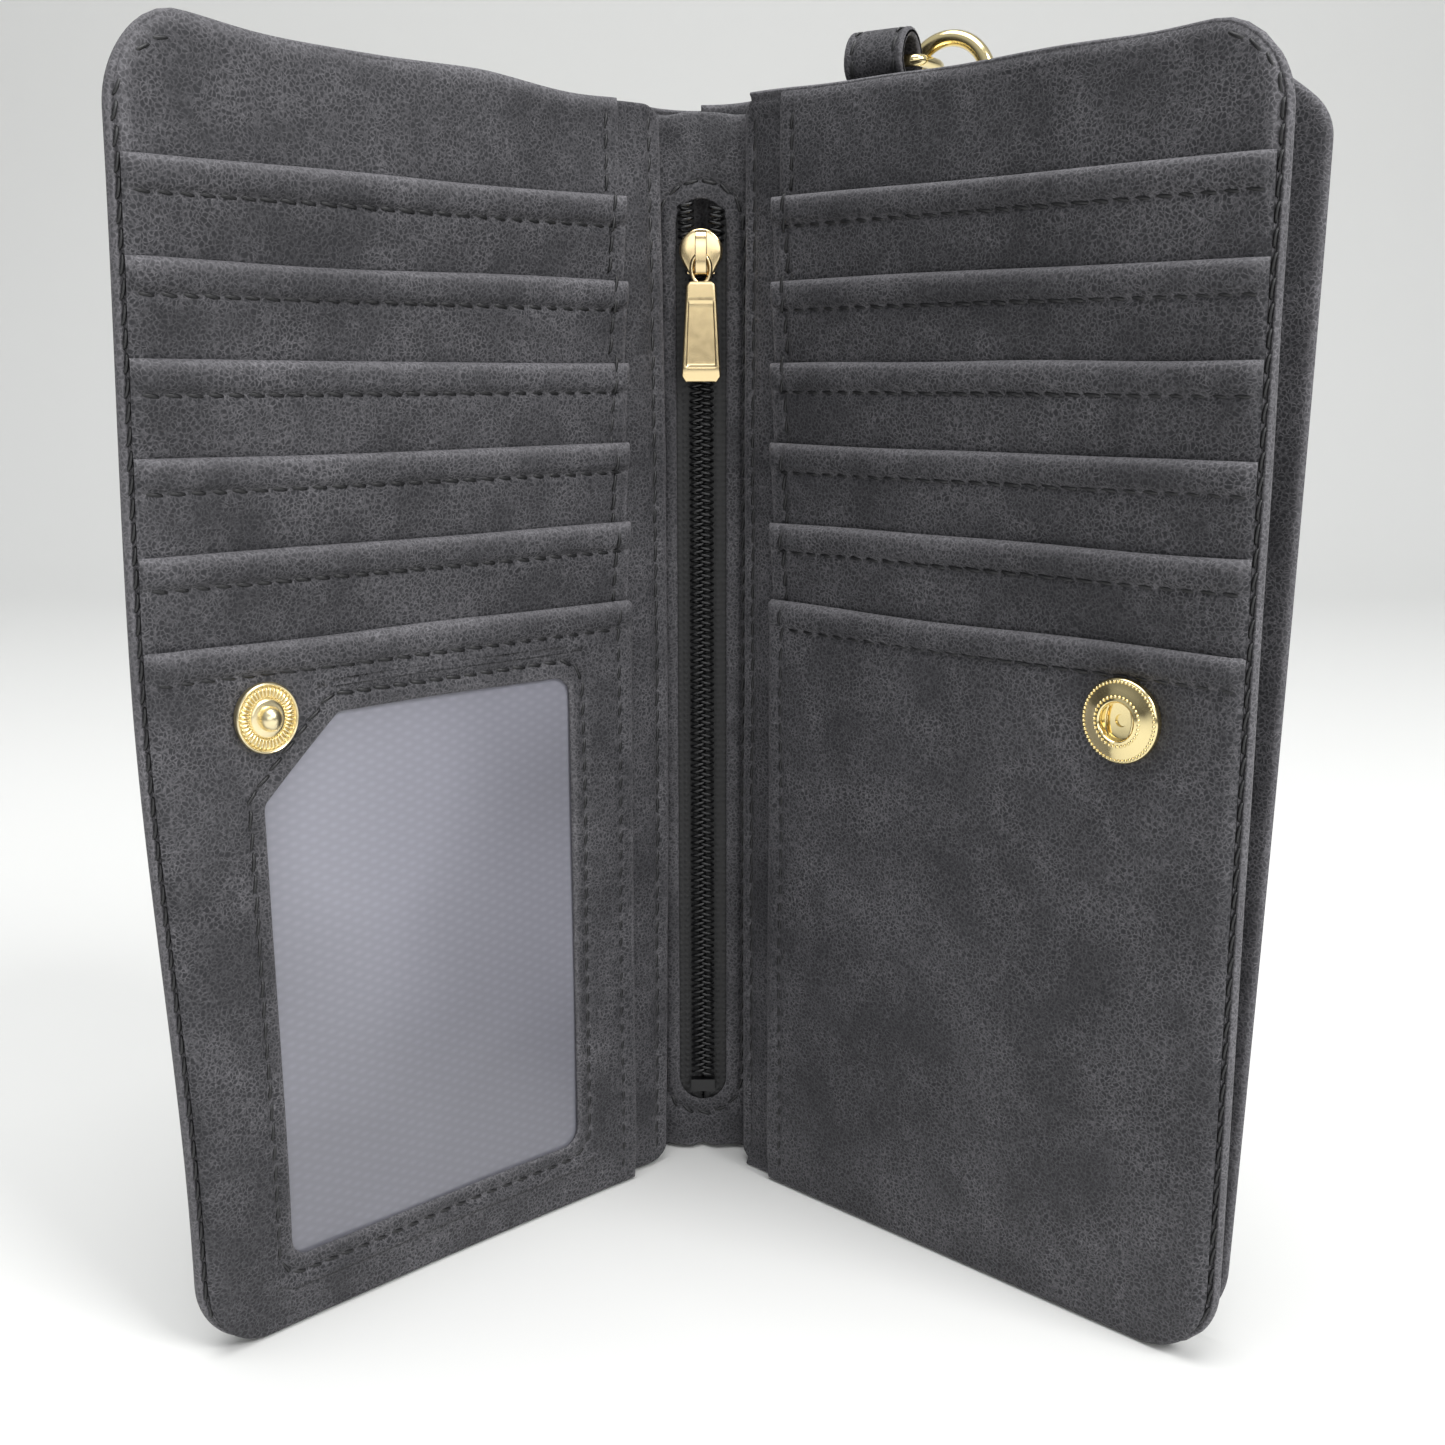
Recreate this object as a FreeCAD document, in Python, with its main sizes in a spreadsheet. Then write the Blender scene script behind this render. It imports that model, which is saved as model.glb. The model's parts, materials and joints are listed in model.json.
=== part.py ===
import FreeCAD, Part
import math
import os

import Sketcher

# A long bifold wallet that stands on its short end, open like a book.
# Each leaf is drawn flat in a frame of its own: the fold line is the Z axis, X runs along the
# leaf away from the fold, -Y is the inside that shows when the wallet is open, and Z is up.
# Placements then turn the three leaves about their folds. All sizes are in millimetres.

Vector = FreeCAD.Vector
Rotation = FreeCAD.Rotation
Placement = FreeCAD.Placement

doc = FreeCAD.newDocument("long_wallet")
dims = doc.addObject("Spreadsheet::Sheet", "dims")

DRIVING = {
    # the whole wallet
    "wallet_height": 196.0,
    "leaf_width": 101.7,
    "corner_radius": 12.0,
    "cover_inner": 1.2,
    "cover_back": 0.7,
    "cover_thick": 1.4,
    "leaf_inner": 1.8,
    "leaf_back": 1.4,
    "leaf_thick": 0.8,
    "flap_half": 0.9,
    "flap_thick": 1.0,
    # what the shells hold
    "board_inner": 3.0,
    "board_inset": 4.0,
    "board_thick": 0.8,
    "slim_board_thick": 0.4,
    "bag_inset": 6.0,
    "bag_thick": 1.2,
    "lining_gap": 0.1,
    # the shells' turned edge
    "rim_width": 1.9,
    "rim_soft": 0.7,
    # folds: half the spine's width, and how far each leaf stands open from flat
    "fold_x": 10.6,
    "fold_y": 11.85,
    "left_open": 42.7,
    "right_open": 44.4,
    "cover_open": 34.5,
    # where the inner faces lie in front of the fold line
    "facing_front": 4.6,
    "facing_thick": 1.0,
    "facing_reach": 0.8,
    "gutter_width": 9.0,
    "card_panel_thick": 0.8,
    # card pockets
    "first_drop": 16.9,
    "pocket_pitch": 13.7,
    "pocket_thick": 0.8,
    "pocket_tail": 18.2,
    "pocket_foot": 3.5,
    "large_foot": 1.2,
    "lip_height": 4.2,
    "lip_stand": 1.0,
    "lip_thick": 1.4,
    "lip_soft": 0.6,
    # identity window in the left large pocket
    "window_inner": 23.0,
    "window_outer": 82.4,
    "window_low": 12.0,
    "window_high": 98.5,
    "window_chamfer_x": 14.2,
    "window_chamfer_z": 12.8,
    "window_soft": 3.2,
    "film_margin": 2.6,
    "film_thick": 0.3,
    # press stud
    "snap_reach": 81.3,
    "snap_height": 99.2,
    "stud_radius": 5.5,
    "stud_base": 1.0,
    "stud_ball": 2.1,
    "socket_radius": 6.5,
    "socket_tall": 2.2,
    "socket_hole": 2.9,
    "snap_shank": 1.4,
    "stud_step": 0.5,
    "stud_neck": 1.45,
    "socket_brim": 0.75,
    "socket_lip": 0.6,
    "socket_floor": 0.4,
    "rib_wide": 0.4,
    "rib_tall": 0.25,
    "rivet_shank": 0.95,
    "rivet_head": 3.5,
    "rivet_high": 0.9,
    "rivet_low": 1.5,
    # spine
    "spine_outer": 11.4,
    "spine_centre": 8.1,
    "spine_thick": 1.4,
    "spine_half": 9.8,
    "lining_thick": 0.4,
    # zip
    "zip_panel_front": 13.8,
    "zip_panel_thick": 0.8,
    "zip_slot_half": 4.8,
    "zip_slot_low": 10.2,
    "zip_slot_high": 180.4,
    "tape_thick": 0.5,
    "tape_half": 7.0,
    "tape_gap": 0.15,
    "tape_parted": 2.4,
    "tooth_pitch": 1.5,
    "tooth_height": 0.7,
    "tooth_reach": 0.6,
    "bead_inner": 0.9,
    "bead_outer": 2.0,
    "coil_thick": 1.5,
    "stop_half": 2.3,
    "stop_tall": 2.4,
    "slider_low": 167.0,
    "slider_tall": 8.0,
    "slider_half": 3.85,
    "plate_thick": 1.0,
    "pull_long": 22.0,
    "pull_top_half": 2.6,
    "pull_low_half": 3.4,
    "pull_thick": 1.0,
    "eye_bar": 1.0,
    "eye_half": 1.5,
    "eye_long": 3.4,
    "recess_deep": 0.25,
    "bridge_half": 0.9,
    "bridge_tall": 2.6,
    "bridge_thick": 0.9,
    "bridge_foot": 0.3,
    "bridge_head": 6.9,
    "bridge_leg": 1.0,
    "bridge_soft": 0.6,
    # ring tab and rings on the right cover
    "tab_centre": 22.5,
    "tab_width": 11.0,
    "tab_thick": 1.7,
    "tab_bore": 2.5,
    "tab_leg": 14.0,
    "ring_wire": 1.0,
    "ring_long": 13.4,
    "ring_deep": 12.0,
    "ring_turn": 1.8,
    "clip_wire": 1.4,
    "clip_radius": 7.5,
    "clip_out": 2.0,
    "clip_back": 1.6,
    "clip_drop": 3.4,
    # the assembly's own origin, measured once everything is built
    "origin_x": 0.0,
    "origin_y": 0.0,
}
for row, (alias, number) in enumerate(DRIVING.items(), start=1):
    dims.set(f"A{row}", alias)
    dims.set(f"B{row}", str(number))
    dims.setAlias(f"B{row}", alias)
doc.recompute()

SUBPARTS = []
LEFT, RIGHT = -1, 1


def value(expression):
    """What an expression on the sheet's cells comes to now."""
    return float(dims.evalExpression(expression))


def keep(thing, label, place):
    """Names a finished sub-part and puts it where its leaf stands."""
    thing.Label = label
    axis_x, axis_y, angle = place
    thing.Placement = Placement(Vector(0, 0, 0), Rotation(Vector(0, 0, 1), value(angle)))
    thing.setExpression("Placement.Base.x", f"{axis_x} - dims.origin_x")
    thing.setExpression("Placement.Base.y", f"{axis_y} - dims.origin_y")
    SUBPARTS.append(thing)
    return thing


SPINE = ("0 * dims.fold_x", "0 * dims.fold_y", "0")
LEFT_LEAF = ("-dims.fold_x", "dims.fold_y", "dims.left_open")
RIGHT_LEAF = ("dims.fold_x", "dims.fold_y", "-dims.right_open")
RIGHT_COVER = ("dims.fold_x", "dims.fold_y", "-dims.cover_open")


def body(name):
    return doc.addObject("PartDesign::Body", name)


def outline(owner, name, plane, points, offset="0"):
    """A closed sketch of straight sides whose every corner is bound to the sheet."""
    sketch = owner.newObject("Sketcher::SketchObject", name)
    support = [f for f in owner.Origin.OriginFeatures if f.Role == plane][0]
    sketch.AttachmentSupport = [(support, "")]
    sketch.MapMode = "FlatFace"
    sketch.setExpression("AttachmentOffset.Base.z", offset)
    corners = [Vector(value(a), value(b), 0) for a, b in points]
    count = len(corners)
    for i, corner in enumerate(corners):
        sketch.addGeometry(Part.LineSegment(corner, corners[(i + 1) % count]), False)
    for i in range(count):
        sketch.addConstraint(Sketcher.Constraint("Coincident", i, 2, (i + 1) % count, 1))
    for i, (along, up) in enumerate(points):
        for kind, expression in (("DistanceX", along), ("DistanceY", up)):
            number = sketch.addConstraint(
                Sketcher.Constraint(kind, -1, 1, i, 1, value(expression))
            )
            sketch.setExpression(f"Constraints[{number}]", expression)
    return sketch


def pad(owner, name, sketch, length):
    feature = owner.newObject("PartDesign::Pad", name)
    feature.Profile = sketch
    feature.setExpression("Length", length)
    sketch.Visibility = False
    return feature


def pocket(owner, name, sketch, length):
    """Cuts from the sketch towards the leaf's front; the volume must drop, or it cut nothing."""
    doc.recompute()
    before = owner.Tip.Shape.Volume
    feature = owner.newObject("PartDesign::Pocket", name)
    feature.Profile = sketch
    feature.setExpression("Length", length)
    feature.Reversed = True
    doc.recompute()
    assert feature.Shape.Volume < before - 0.01, f"{owner.Name}: {name} cut nothing"
    return feature


def edges_where(shape, test):
    """Names of the edges whose two ends, or middle, pass the test."""
    names = []
    for number, edge in enumerate(shape.Edges, start=1):
        ends = [v.Point for v in edge.Vertexes]
        if test(ends):
            names.append(f"Edge{number}")
    return names


def dress(owner, kind, name, setting, size, test):
    """Rounds or bevels the edges that pass the test; the setting is Radius or Size."""
    doc.recompute()
    base = owner.Tip
    names = edges_where(base.Shape, test)
    assert names, f"{owner.Name}: {name} found no edge"
    feature = owner.newObject(f"PartDesign::{kind}", name)
    feature.Base = (base, names)
    feature.setExpression(setting, size)
    return feature


def fillet(owner, name, radius, test):
    return dress(owner, "Fillet", name, "Radius", radius, test)


def bevel(owner, name, size, test):
    return dress(owner, "Chamfer", name, "Size", size, test)


def near(a, b, slack=0.01):
    return abs(a - b) < slack


def signed(side, expression):
    return expression if side == RIGHT else f"-({expression})"


def rectangle(side, u0, u1, low, high):
    return [
        (signed(side, u0), low),
        (signed(side, u1), low),
        (signed(side, u1), high),
        (signed(side, u0), high),
    ]


def round_outer_corners(owner, side, reach):
    """Rounds the two corners of a sheet at its outer end."""
    edge_x = side * value(reach)
    radius = f"dims.corner_radius - (dims.leaf_width - ({reach}))"
    fillet(
        owner,
        "outer_corners",
        radius,
        lambda ends: len(ends) == 2
        and all(near(p.x, edge_x) for p in ends)
        and near(ends[0].z, ends[1].z)
        and not near(ends[0].y, ends[1].y),
    )


def cylinder(name, radius, low, tall, y):
    rod = doc.addObject("Part::Cylinder", name)
    rod.setExpression("Radius", radius)
    rod.setExpression("Height", tall)
    rod.setExpression("Placement.Base.y", y)
    rod.setExpression("Placement.Base.z", low)
    return rod


def block(name, x0, x1, y0, y1, z0, z1):
    box = doc.addObject("Part::Box", name)
    box.setExpression("Length", f"({x1}) - ({x0})")
    box.setExpression("Width", f"({y1}) - ({y0})")
    box.setExpression("Height", f"({z1}) - ({z0})")
    box.setExpression("Placement.Base.x", x0)
    box.setExpression("Placement.Base.y", y0)
    box.setExpression("Placement.Base.z", z0)
    return box


def boolean(kind, name, base, tool):
    result = doc.addObject(f"Part::{kind}", name)
    result.Base, result.Tool = base, tool
    return result


def rounded_bar(name, side, u0, u1, y0, y1, z0, z1):
    """A bar along the leaf whose two outer corners follow the leaf's own rounding."""
    start, end = (u0, u1) if side == RIGHT else (f"-({u1})", f"-({u0})")
    bar = block(f"{name}_bar", start, end, y0, y1, z0, z1)
    doc.recompute()
    outer_x = side * value(u1)
    wanted = [
        number
        for number, edge in enumerate(bar.Shape.Edges, start=1)
        if all(near(v.X, outer_x) for v in edge.Vertexes)
        and near(edge.Vertexes[0].Z, edge.Vertexes[1].Z)
    ]
    radius = value(f"dims.corner_radius - (dims.leaf_width - ({u1}))")
    rounded = doc.addObject("Part::Fillet", f"{name}_rounded")
    rounded.Base = bar
    rounded.Edges = [(number, radius, radius) for number in wanted]
    return rounded


def sheet_piece(label, side, place, reach, back, thick, inner, low, high, corners=True):
    """A flat sheet of leather, board or lining, drawn on the leaf and padded to its thickness."""
    owner = body(label)
    drawn = outline(owner, "outline", "XZ_Plane", rectangle(side, inner, reach, low, high),
                    f"-({back})")
    pad(owner, "sheet", drawn, thick)
    if corners:
        round_outer_corners(owner, side, reach)
    return keep(owner, label, place)


def tray(label, side, place, inner, back, front, floor, soft="dims.rim_soft"):
    """An outer shell: a sheet whose turned edge stands forward round three sides."""
    owner = body(f"{label}_block")
    reach, high = "dims.leaf_width", "dims.wallet_height"
    drawn = outline(owner, "outline", "XZ_Plane", rectangle(side, inner, reach, "0", high),
                    f"-({back})")
    pad(owner, "block", drawn, f"({back}) - ({front})")
    round_outer_corners(owner, side, reach)
    edge_x = side * value(reach)
    radius = value("dims.corner_radius")
    top = value(high)

    def on_rim(ends):
        if len(ends) != 2 or not near(ends[0].y, ends[1].y):
            return False
        along_x = all(near(p.z, 0) or near(p.z, top) for p in ends)
        along_z = all(near(p.x, edge_x) for p in ends)
        corner = all(abs(p.x - edge_x) < radius + 0.1 for p in ends)
        return along_x and near(ends[0].z, ends[1].z) or along_z or corner

    bevel(owner, "turned_edge", soft, on_rim)
    rim = "dims.rim_width"
    hollow = rounded_bar(f"{label}_hollow", side, f"{inner} - 5", f"{reach} - {rim}",
                         f"{front} - 1", floor, rim, f"{high} - {rim}")
    return keep(boolean("Cut", label, owner, hollow), label, place)


PANEL_FRONT = "(-dims.facing_front - dims.card_panel_thick)"
LIP_BACK = f"({PANEL_FRONT} - dims.lip_stand)"
LIP_FRONT = f"({LIP_BACK} - dims.lip_thick)"
POCKET_FRONT = f"({LIP_BACK} - dims.pocket_thick - 0.1)"
POCKET_INNER = "dims.gutter_width"
POCKET_OUTER = "dims.leaf_width - dims.rim_width"


def lip_points(top):
    """The turned hem at a pocket's mouth, from its lower front corner round to its lower back."""
    return [
        (POCKET_FRONT, f"{top} - dims.lip_height - 0.5"),
        (LIP_FRONT, f"{top} - dims.lip_height + 0.3"),
        (LIP_FRONT, top),
        (LIP_BACK, top),
        (LIP_BACK, f"{top} - dims.lip_height - 0.5"),
    ]


def pocket_body(label, side, top, tail):
    """A pocket front: its section is drawn across the leaf and padded along the leaf."""
    owner = body(label)
    start = POCKET_INNER if side == RIGHT else f"-({POCKET_OUTER})"
    section = outline(owner, "section", "YZ_Plane", lip_points(top) + tail, start)
    pad(owner, "front", section, f"{POCKET_OUTER} - {POCKET_INNER}")
    top_z = value(top)
    fillet(
        owner,
        "lip_roll",
        "dims.lip_soft",
        lambda ends: len(ends) == 2 and all(near(p.z, top_z) for p in ends)
        and not near(ends[0].x, ends[1].x),
    )
    return owner


def pocket_top(number):
    return f"(dims.wallet_height - dims.first_drop - {number - 1} * dims.pocket_pitch)"


def card_pocket(label, side, place, number):
    """One card pocket. Its foot is sewn flat to the panel and its lip stands over the next foot."""
    top = pocket_top(number)
    foot = f"{top} - dims.pocket_tail"
    knee = f"{foot} + dims.pocket_foot"
    tail = [
        (PANEL_FRONT, knee),
        (PANEL_FRONT, foot),
        (f"{PANEL_FRONT} - dims.pocket_thick", foot),
        (f"{PANEL_FRONT} - dims.pocket_thick", knee),
    ]
    return keep(pocket_body(label, side, top, tail), label, place)


LARGE_FOOT = "dims.large_foot"


def large_pocket(label, side):
    """The sixth pocket, down to the foot of the leaf, with a hole for the press stud's shank."""
    tail = [
        (LIP_BACK, f"{LARGE_FOOT} + 8"),
        (PANEL_FRONT, f"{LARGE_FOOT} + 3"),
        (PANEL_FRONT, LARGE_FOOT),
        (f"{PANEL_FRONT} - dims.pocket_thick", LARGE_FOOT),
        (f"{PANEL_FRONT} - dims.pocket_thick", f"{LARGE_FOOT} + 3"),
        (POCKET_FRONT, f"{LARGE_FOOT} + 8"),
    ]
    owner = pocket_body(label, side, pocket_top(6), tail)
    span = "dims.snap_shank / sqrt(2)"
    reach, up = "dims.snap_reach", "dims.snap_height"
    hole = [
        (signed(side, f"{reach} - {span}"), f"{up} - {span}"),
        (signed(side, f"{reach} + {span}"), f"{up} - {span}"),
        (signed(side, f"{reach} + {span}"), f"{up} + {span}"),
        (signed(side, f"{reach} - {span}"), f"{up} + {span}"),
    ]
    cut = outline(owner, "shank_hole", "XZ_Plane", hole, f"-({PANEL_FRONT})")
    pocket(owner, "shank_cut", cut, "5")
    return owner


def round_foot(owner, label, side):
    """Trims a finished pocket front to the leaf's rounded outer corner."""
    shape = rounded_bar(f"{label}_trim", side, POCKET_INNER, POCKET_OUTER, "-12", "0", "0",
                        "dims.wallet_height")
    return boolean("Common", label, owner, shape)


def window_outline(margin):
    inner, outer = "dims.window_inner", "dims.window_outer"
    low, high = "dims.window_low", "dims.window_high"
    cut_x, cut_z = "dims.window_chamfer_x", "dims.window_chamfer_z"
    return [
        (f"-({inner} - {margin})", f"{low} - {margin}"),
        (f"-({inner} - {margin})", f"{high} + {margin}"),
        (f"-({outer} - {cut_x} + {margin} / 2)", f"{high} + {margin}"),
        (f"-({outer} + {margin})", f"{high} - {cut_z} + {margin} / 2"),
        (f"-({outer} + {margin})", f"{low} - {margin}"),
    ]


def identity_pocket(label):
    owner = large_pocket(f"{label}_front", LEFT)
    cut = outline(owner, "window", "XZ_Plane", window_outline("0"), f"-({PANEL_FRONT})")
    pocket(owner, "window_cut", cut, "5")
    inner_x, outer_x = value("-dims.window_inner"), value("-dims.window_outer")
    low, high = value("dims.window_low"), value("dims.window_high")

    def window_corner(ends):
        if len(ends) != 2 or near(ends[0].y, ends[1].y):
            return False
        same = near(ends[0].x, ends[1].x) and near(ends[0].z, ends[1].z)
        at_side = near(ends[0].x, inner_x) or near(ends[0].x, outer_x)
        return same and at_side and low - 0.1 < ends[0].z < high + 0.1

    fillet(owner, "window_corners", "dims.window_soft", window_corner)
    return keep(round_foot(owner, label, LEFT), label, LEFT_LEAF)


def window_film(label):
    """The clear film lies behind the pocket's front and reaches past the window all round."""
    owner = body(label)
    drawn = outline(owner, "outline", "XZ_Plane", window_outline("dims.film_margin"),
                    f"-({LIP_BACK} + dims.film_thick)")
    pad(owner, "film", drawn, "dims.film_thick")
    return keep(owner, label, LEFT_LEAF)


def leaf_facing(name, side, place):
    """What shows on an open leaf: inner panel, card panel and the six pocket fronts."""
    back = "-dims.facing_front + dims.facing_thick"
    rim, high = "dims.rim_width", "dims.wallet_height"
    sheet_piece(f"{name}_inner_panel", side, place, POCKET_OUTER, back, "dims.facing_thick",
                "-dims.facing_reach", rim, f"{high} - {rim}")
    sheet_piece(f"{name}_card_panel", side, place, POCKET_OUTER, "-dims.facing_front",
                "dims.card_panel_thick", POCKET_INNER, "0.4", f"{high} - 0.4")
    for number in range(1, 6):
        card_pocket(f"{name}_card_pocket_{number}", side, place, number)


def turned(label, place, profile, front, reach, up, ribs=None):
    """A profile turned about an axis that stands out of the leaf's front at (reach, up).

    The profile is a list of (radius, height in front of the given plane).
    """
    owner = body(label)
    points = [(f"{reach} + {radius}", f"{front} - ({height})") for radius, height in profile]
    drawn = outline(owner, "profile", "XY_Plane", points, up)
    axis_x, axis_y = value(reach), value(front)
    axis = Part.LineSegment(Vector(axis_x, axis_y - 5, 0), Vector(axis_x, axis_y + 5, 0))
    line = drawn.addGeometry(axis, True)
    drawn.addConstraint(Sketcher.Constraint("Vertical", line))
    index = drawn.addConstraint(Sketcher.Constraint("DistanceX", -1, 1, line, 1, axis_x))
    drawn.setExpression(f"Constraints[{index}]", reach)
    spin = owner.newObject("PartDesign::Revolution", "turned")
    spin.Profile = drawn
    spin.ReferenceAxis = (drawn, ["Axis0"])
    spin.Angle = 360.0
    doc.recompute()
    if ribs:
        count, start, end, height = ribs
        half = "dims.rib_wide / 2"
        bar = outline(owner, "rib", "XZ_Plane",
                      rectangle(RIGHT, f"{reach} + {start}", f"{reach} + {end}",
                                f"{up} - {half}", f"{up} + {half}"),
                      f"-({front} - ({height}))")
        rib = pad(owner, "rib_pad", bar, "dims.rib_tall")
        round_about = owner.newObject("PartDesign::PolarPattern", "ribs")
        round_about.Originals = [rib]
        round_about.Axis = (drawn, ["Axis0"])
        round_about.Angle = 360.0
        round_about.Occurrences = count
        owner.Tip = round_about
    return keep(owner, label, place)


STUD_RIBS = 12
SOCKET_RIBS = 14


def press_stud():
    """Stud on the left leaf, socket on the right: ball and hole meet when the wallet is shut."""
    radius, base, ball = "dims.stud_radius", "dims.stud_base", "dims.stud_ball"
    step, neck = "dims.stud_step", "dims.stud_neck"
    stud = [
        ("0", "0"), (radius, "0"), (f"{radius} - {step} / 2", f"{base} + {step} / 2"),
        (f"{radius} - 2 * {step}", f"{base} - {step} / 5"),
        (f"{neck} * 2", f"{base} - {step} / 5"), (f"{neck} * 1.7", f"{base} + {step} * 0.8"),
        (neck, f"{base} + {step} * 0.8"), (ball, f"{base} + {ball} * 0.7"),
        ("0", f"{base} + {ball} * 1.15"),
    ]
    left_at = (signed(LEFT, "dims.snap_reach"), "dims.snap_height")
    right_at = (signed(RIGHT, "dims.snap_reach"), "dims.snap_height")
    turned("snap_stud", LEFT_LEAF, stud, POCKET_FRONT, *left_at,
           (STUD_RIBS, f"{neck} * 2.1", f"{radius} - 1.5 * {step}", f"{base} - {step} * 0.4"))
    shank, low, high = "dims.rivet_shank", "-dims.rivet_low", "-dims.rivet_high"
    rivet = [("0", "-0.02"), (shank, "-0.02"), (shank, high), ("dims.rivet_head", high),
             ("dims.rivet_head", low), ("0", low)]
    turned("snap_stud_rivet", LEFT_LEAF, rivet, POCKET_FRONT, *left_at)
    wide, tall, hole = "dims.socket_radius", "dims.socket_tall", "dims.socket_hole"
    brim, lip = "dims.socket_brim", "dims.socket_lip"
    socket = [
        ("0", "0"), (wide, "0"), (wide, f"{tall} - {brim} * 1.7"),
        (f"{wide} - {lip}", f"{tall} - {brim}"), (f"{wide} - 2 * {lip}", f"{tall} - {brim}"),
        (f"{hole} + 2 * {lip}", tall), (f"{hole} + {lip} / 2", tall),
        (hole, f"{tall} - {lip} / 2"), (hole, "dims.socket_floor"), ("0", "dims.socket_floor"),
    ]
    turned("snap_socket", RIGHT_LEAF, socket, POCKET_FRONT, *right_at,
           (SOCKET_RIBS, f"{wide} - 1.9 * {lip}", f"{wide} - 0.9 * {lip}",
            f"{tall} - {brim} - {lip} / 4"))
    turned("snap_socket_rivet", RIGHT_LEAF, rivet, POCKET_FRONT, *right_at)


def left_leaf():
    back, floor = "dims.cover_back", "(dims.cover_back - dims.cover_thick)"
    inset, inner = "dims.board_inset", "dims.board_inner"
    reach, high = f"dims.leaf_width - {inset}", f"dims.wallet_height - {inset}"
    tray("left_cover", LEFT, LEFT_LEAF, "dims.cover_inner", back, "-dims.facing_front", floor)
    sheet_piece("left_board", LEFT, LEFT_LEAF, reach, floor, "dims.board_thick", inner, inset,
                high)
    sheet_piece("left_lining", LEFT, LEFT_LEAF, reach, f"{floor} - dims.board_thick",
                "dims.lining_thick", inner, inset, high)
    leaf_facing("left", LEFT, LEFT_LEAF)
    identity_pocket("left_id_pocket")
    window_film("id_window")


def right_leaf():
    back, floor = "-dims.leaf_back", "(-dims.leaf_back - dims.leaf_thick)"
    inset = "dims.bag_inset"
    tray("right_leaf_back", RIGHT, RIGHT_LEAF, "dims.leaf_inner", back, "-dims.facing_front",
         floor)
    sheet_piece("coin_pocket_bag", RIGHT, RIGHT_LEAF, f"dims.leaf_width - {inset}", floor,
                "dims.bag_thick", "dims.board_inner", inset, f"dims.wallet_height - {inset}")
    leaf_facing("right", RIGHT, RIGHT_LEAF)
    plain = large_pocket("right_large_pocket_front", RIGHT)
    keep(round_foot(plain, "right_large_pocket", RIGHT), "right_large_pocket", RIGHT_LEAF)


def right_cover():
    back, floor = "dims.flap_half", "(dims.flap_half - dims.flap_thick)"
    inset, slim = "dims.board_inset", "dims.slim_board_thick"
    tray("right_cover", RIGHT, RIGHT_COVER, "dims.cover_inner", back, "-dims.flap_half", floor,
         "dims.rim_soft * 0.7")
    sheet_piece("right_board", RIGHT, RIGHT_COVER, f"dims.leaf_width - {inset}", floor, slim,
                "dims.board_inner", inset, f"dims.wallet_height - {inset}")
    edge = "(dims.rim_width + dims.lining_gap)"
    sheet_piece("right_lining", RIGHT, RIGHT_COVER, f"dims.leaf_width - {edge}",
                f"{floor} - {slim}", "dims.lining_thick", "dims.board_inner - 1", edge,
                f"dims.wallet_height - {edge}")


def spine_shell(label, outer, inner, low, high):
    """A gutter-shaped strip bent round the back: a ring cut off in front of the fold lines."""
    tall = f"({high}) - ({low})"
    ring = boolean(
        "Cut", f"{label}_ring",
        cylinder(f"{label}_outer", outer, low, tall, y="dims.spine_centre"),
        cylinder(f"{label}_bore", inner, low, tall, y="dims.spine_centre"),
    )
    keep_box = block(f"{label}_keep", "-dims.spine_half", "dims.spine_half",
                     "dims.zip_panel_front", "30", low, high)
    return keep(boolean("Common", label, ring, keep_box), label, SPINE)


def zip_panel():
    """The leather panel at the bottom of the gutter, with the zip's round-ended slot."""
    front, thick = "dims.zip_panel_front", "dims.zip_panel_thick"
    inner = "dims.spine_outer - dims.spine_thick"
    bar = block("zip_panel_bar", "-dims.spine_half", "dims.spine_half", front,
                f"{front} + {thick}", "0.6", "dims.wallet_height - 0.6")
    trim = cylinder("zip_panel_trim", inner, "0", "dims.wallet_height", y="dims.spine_centre")
    plain = boolean("Common", "zip_panel_plain", bar, trim)
    half, low, high = "dims.zip_slot_half", "dims.zip_slot_low", "dims.zip_slot_high"
    slot = doc.addObject("Part::MultiFuse", "zip_slot")
    ends = []
    for name, centre in (("low", f"{low} + {half}"), ("high", f"{high} - {half}")):
        end = cylinder(f"zip_slot_{name}", half, centre, f"{thick} + 2", y=f"{front} - 1")
        end.Placement = Placement(end.Placement.Base, Rotation(Vector(1, 0, 0), -90))
        ends.append(end)
    run = block("zip_slot_run", f"-{half}", half, f"{front} - 1", f"{front} + {thick} + 1",
                f"{low} + {half}", f"{high} - {half}")
    slot.Shapes = ends + [run]
    keep(boolean("Cut", "zip_panel", plain, slot), "zip_panel", SPINE)


TAPE_FRONT = "(dims.zip_panel_front + dims.zip_panel_thick)"
SLIDER_TOP = "(dims.slider_low + dims.slider_tall)"


def zip_tape(label, side):
    """A woven tape. Its inner edge meets the other below the slider and stands apart above."""
    owner = body(label)
    gap, parted, half = "dims.tape_gap", "dims.tape_parted", "dims.tape_half"
    points = [
        (signed(side, gap), "dims.zip_slot_low - 4"),
        (signed(side, half), "dims.zip_slot_low - 4"),
        (signed(side, half), "dims.zip_slot_high + 5"),
        (signed(side, parted), "dims.zip_slot_high + 5"),
        (signed(side, parted), "dims.slider_low + 5.2"),
        (signed(side, gap), "dims.slider_low + 1.2"),
    ]
    drawn = outline(owner, "outline", "XZ_Plane", points,
                    f"-({TAPE_FRONT} + dims.tape_thick)")
    pad(owner, "tape", drawn, "dims.tape_thick")
    keep(owner, label, SPINE)


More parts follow.
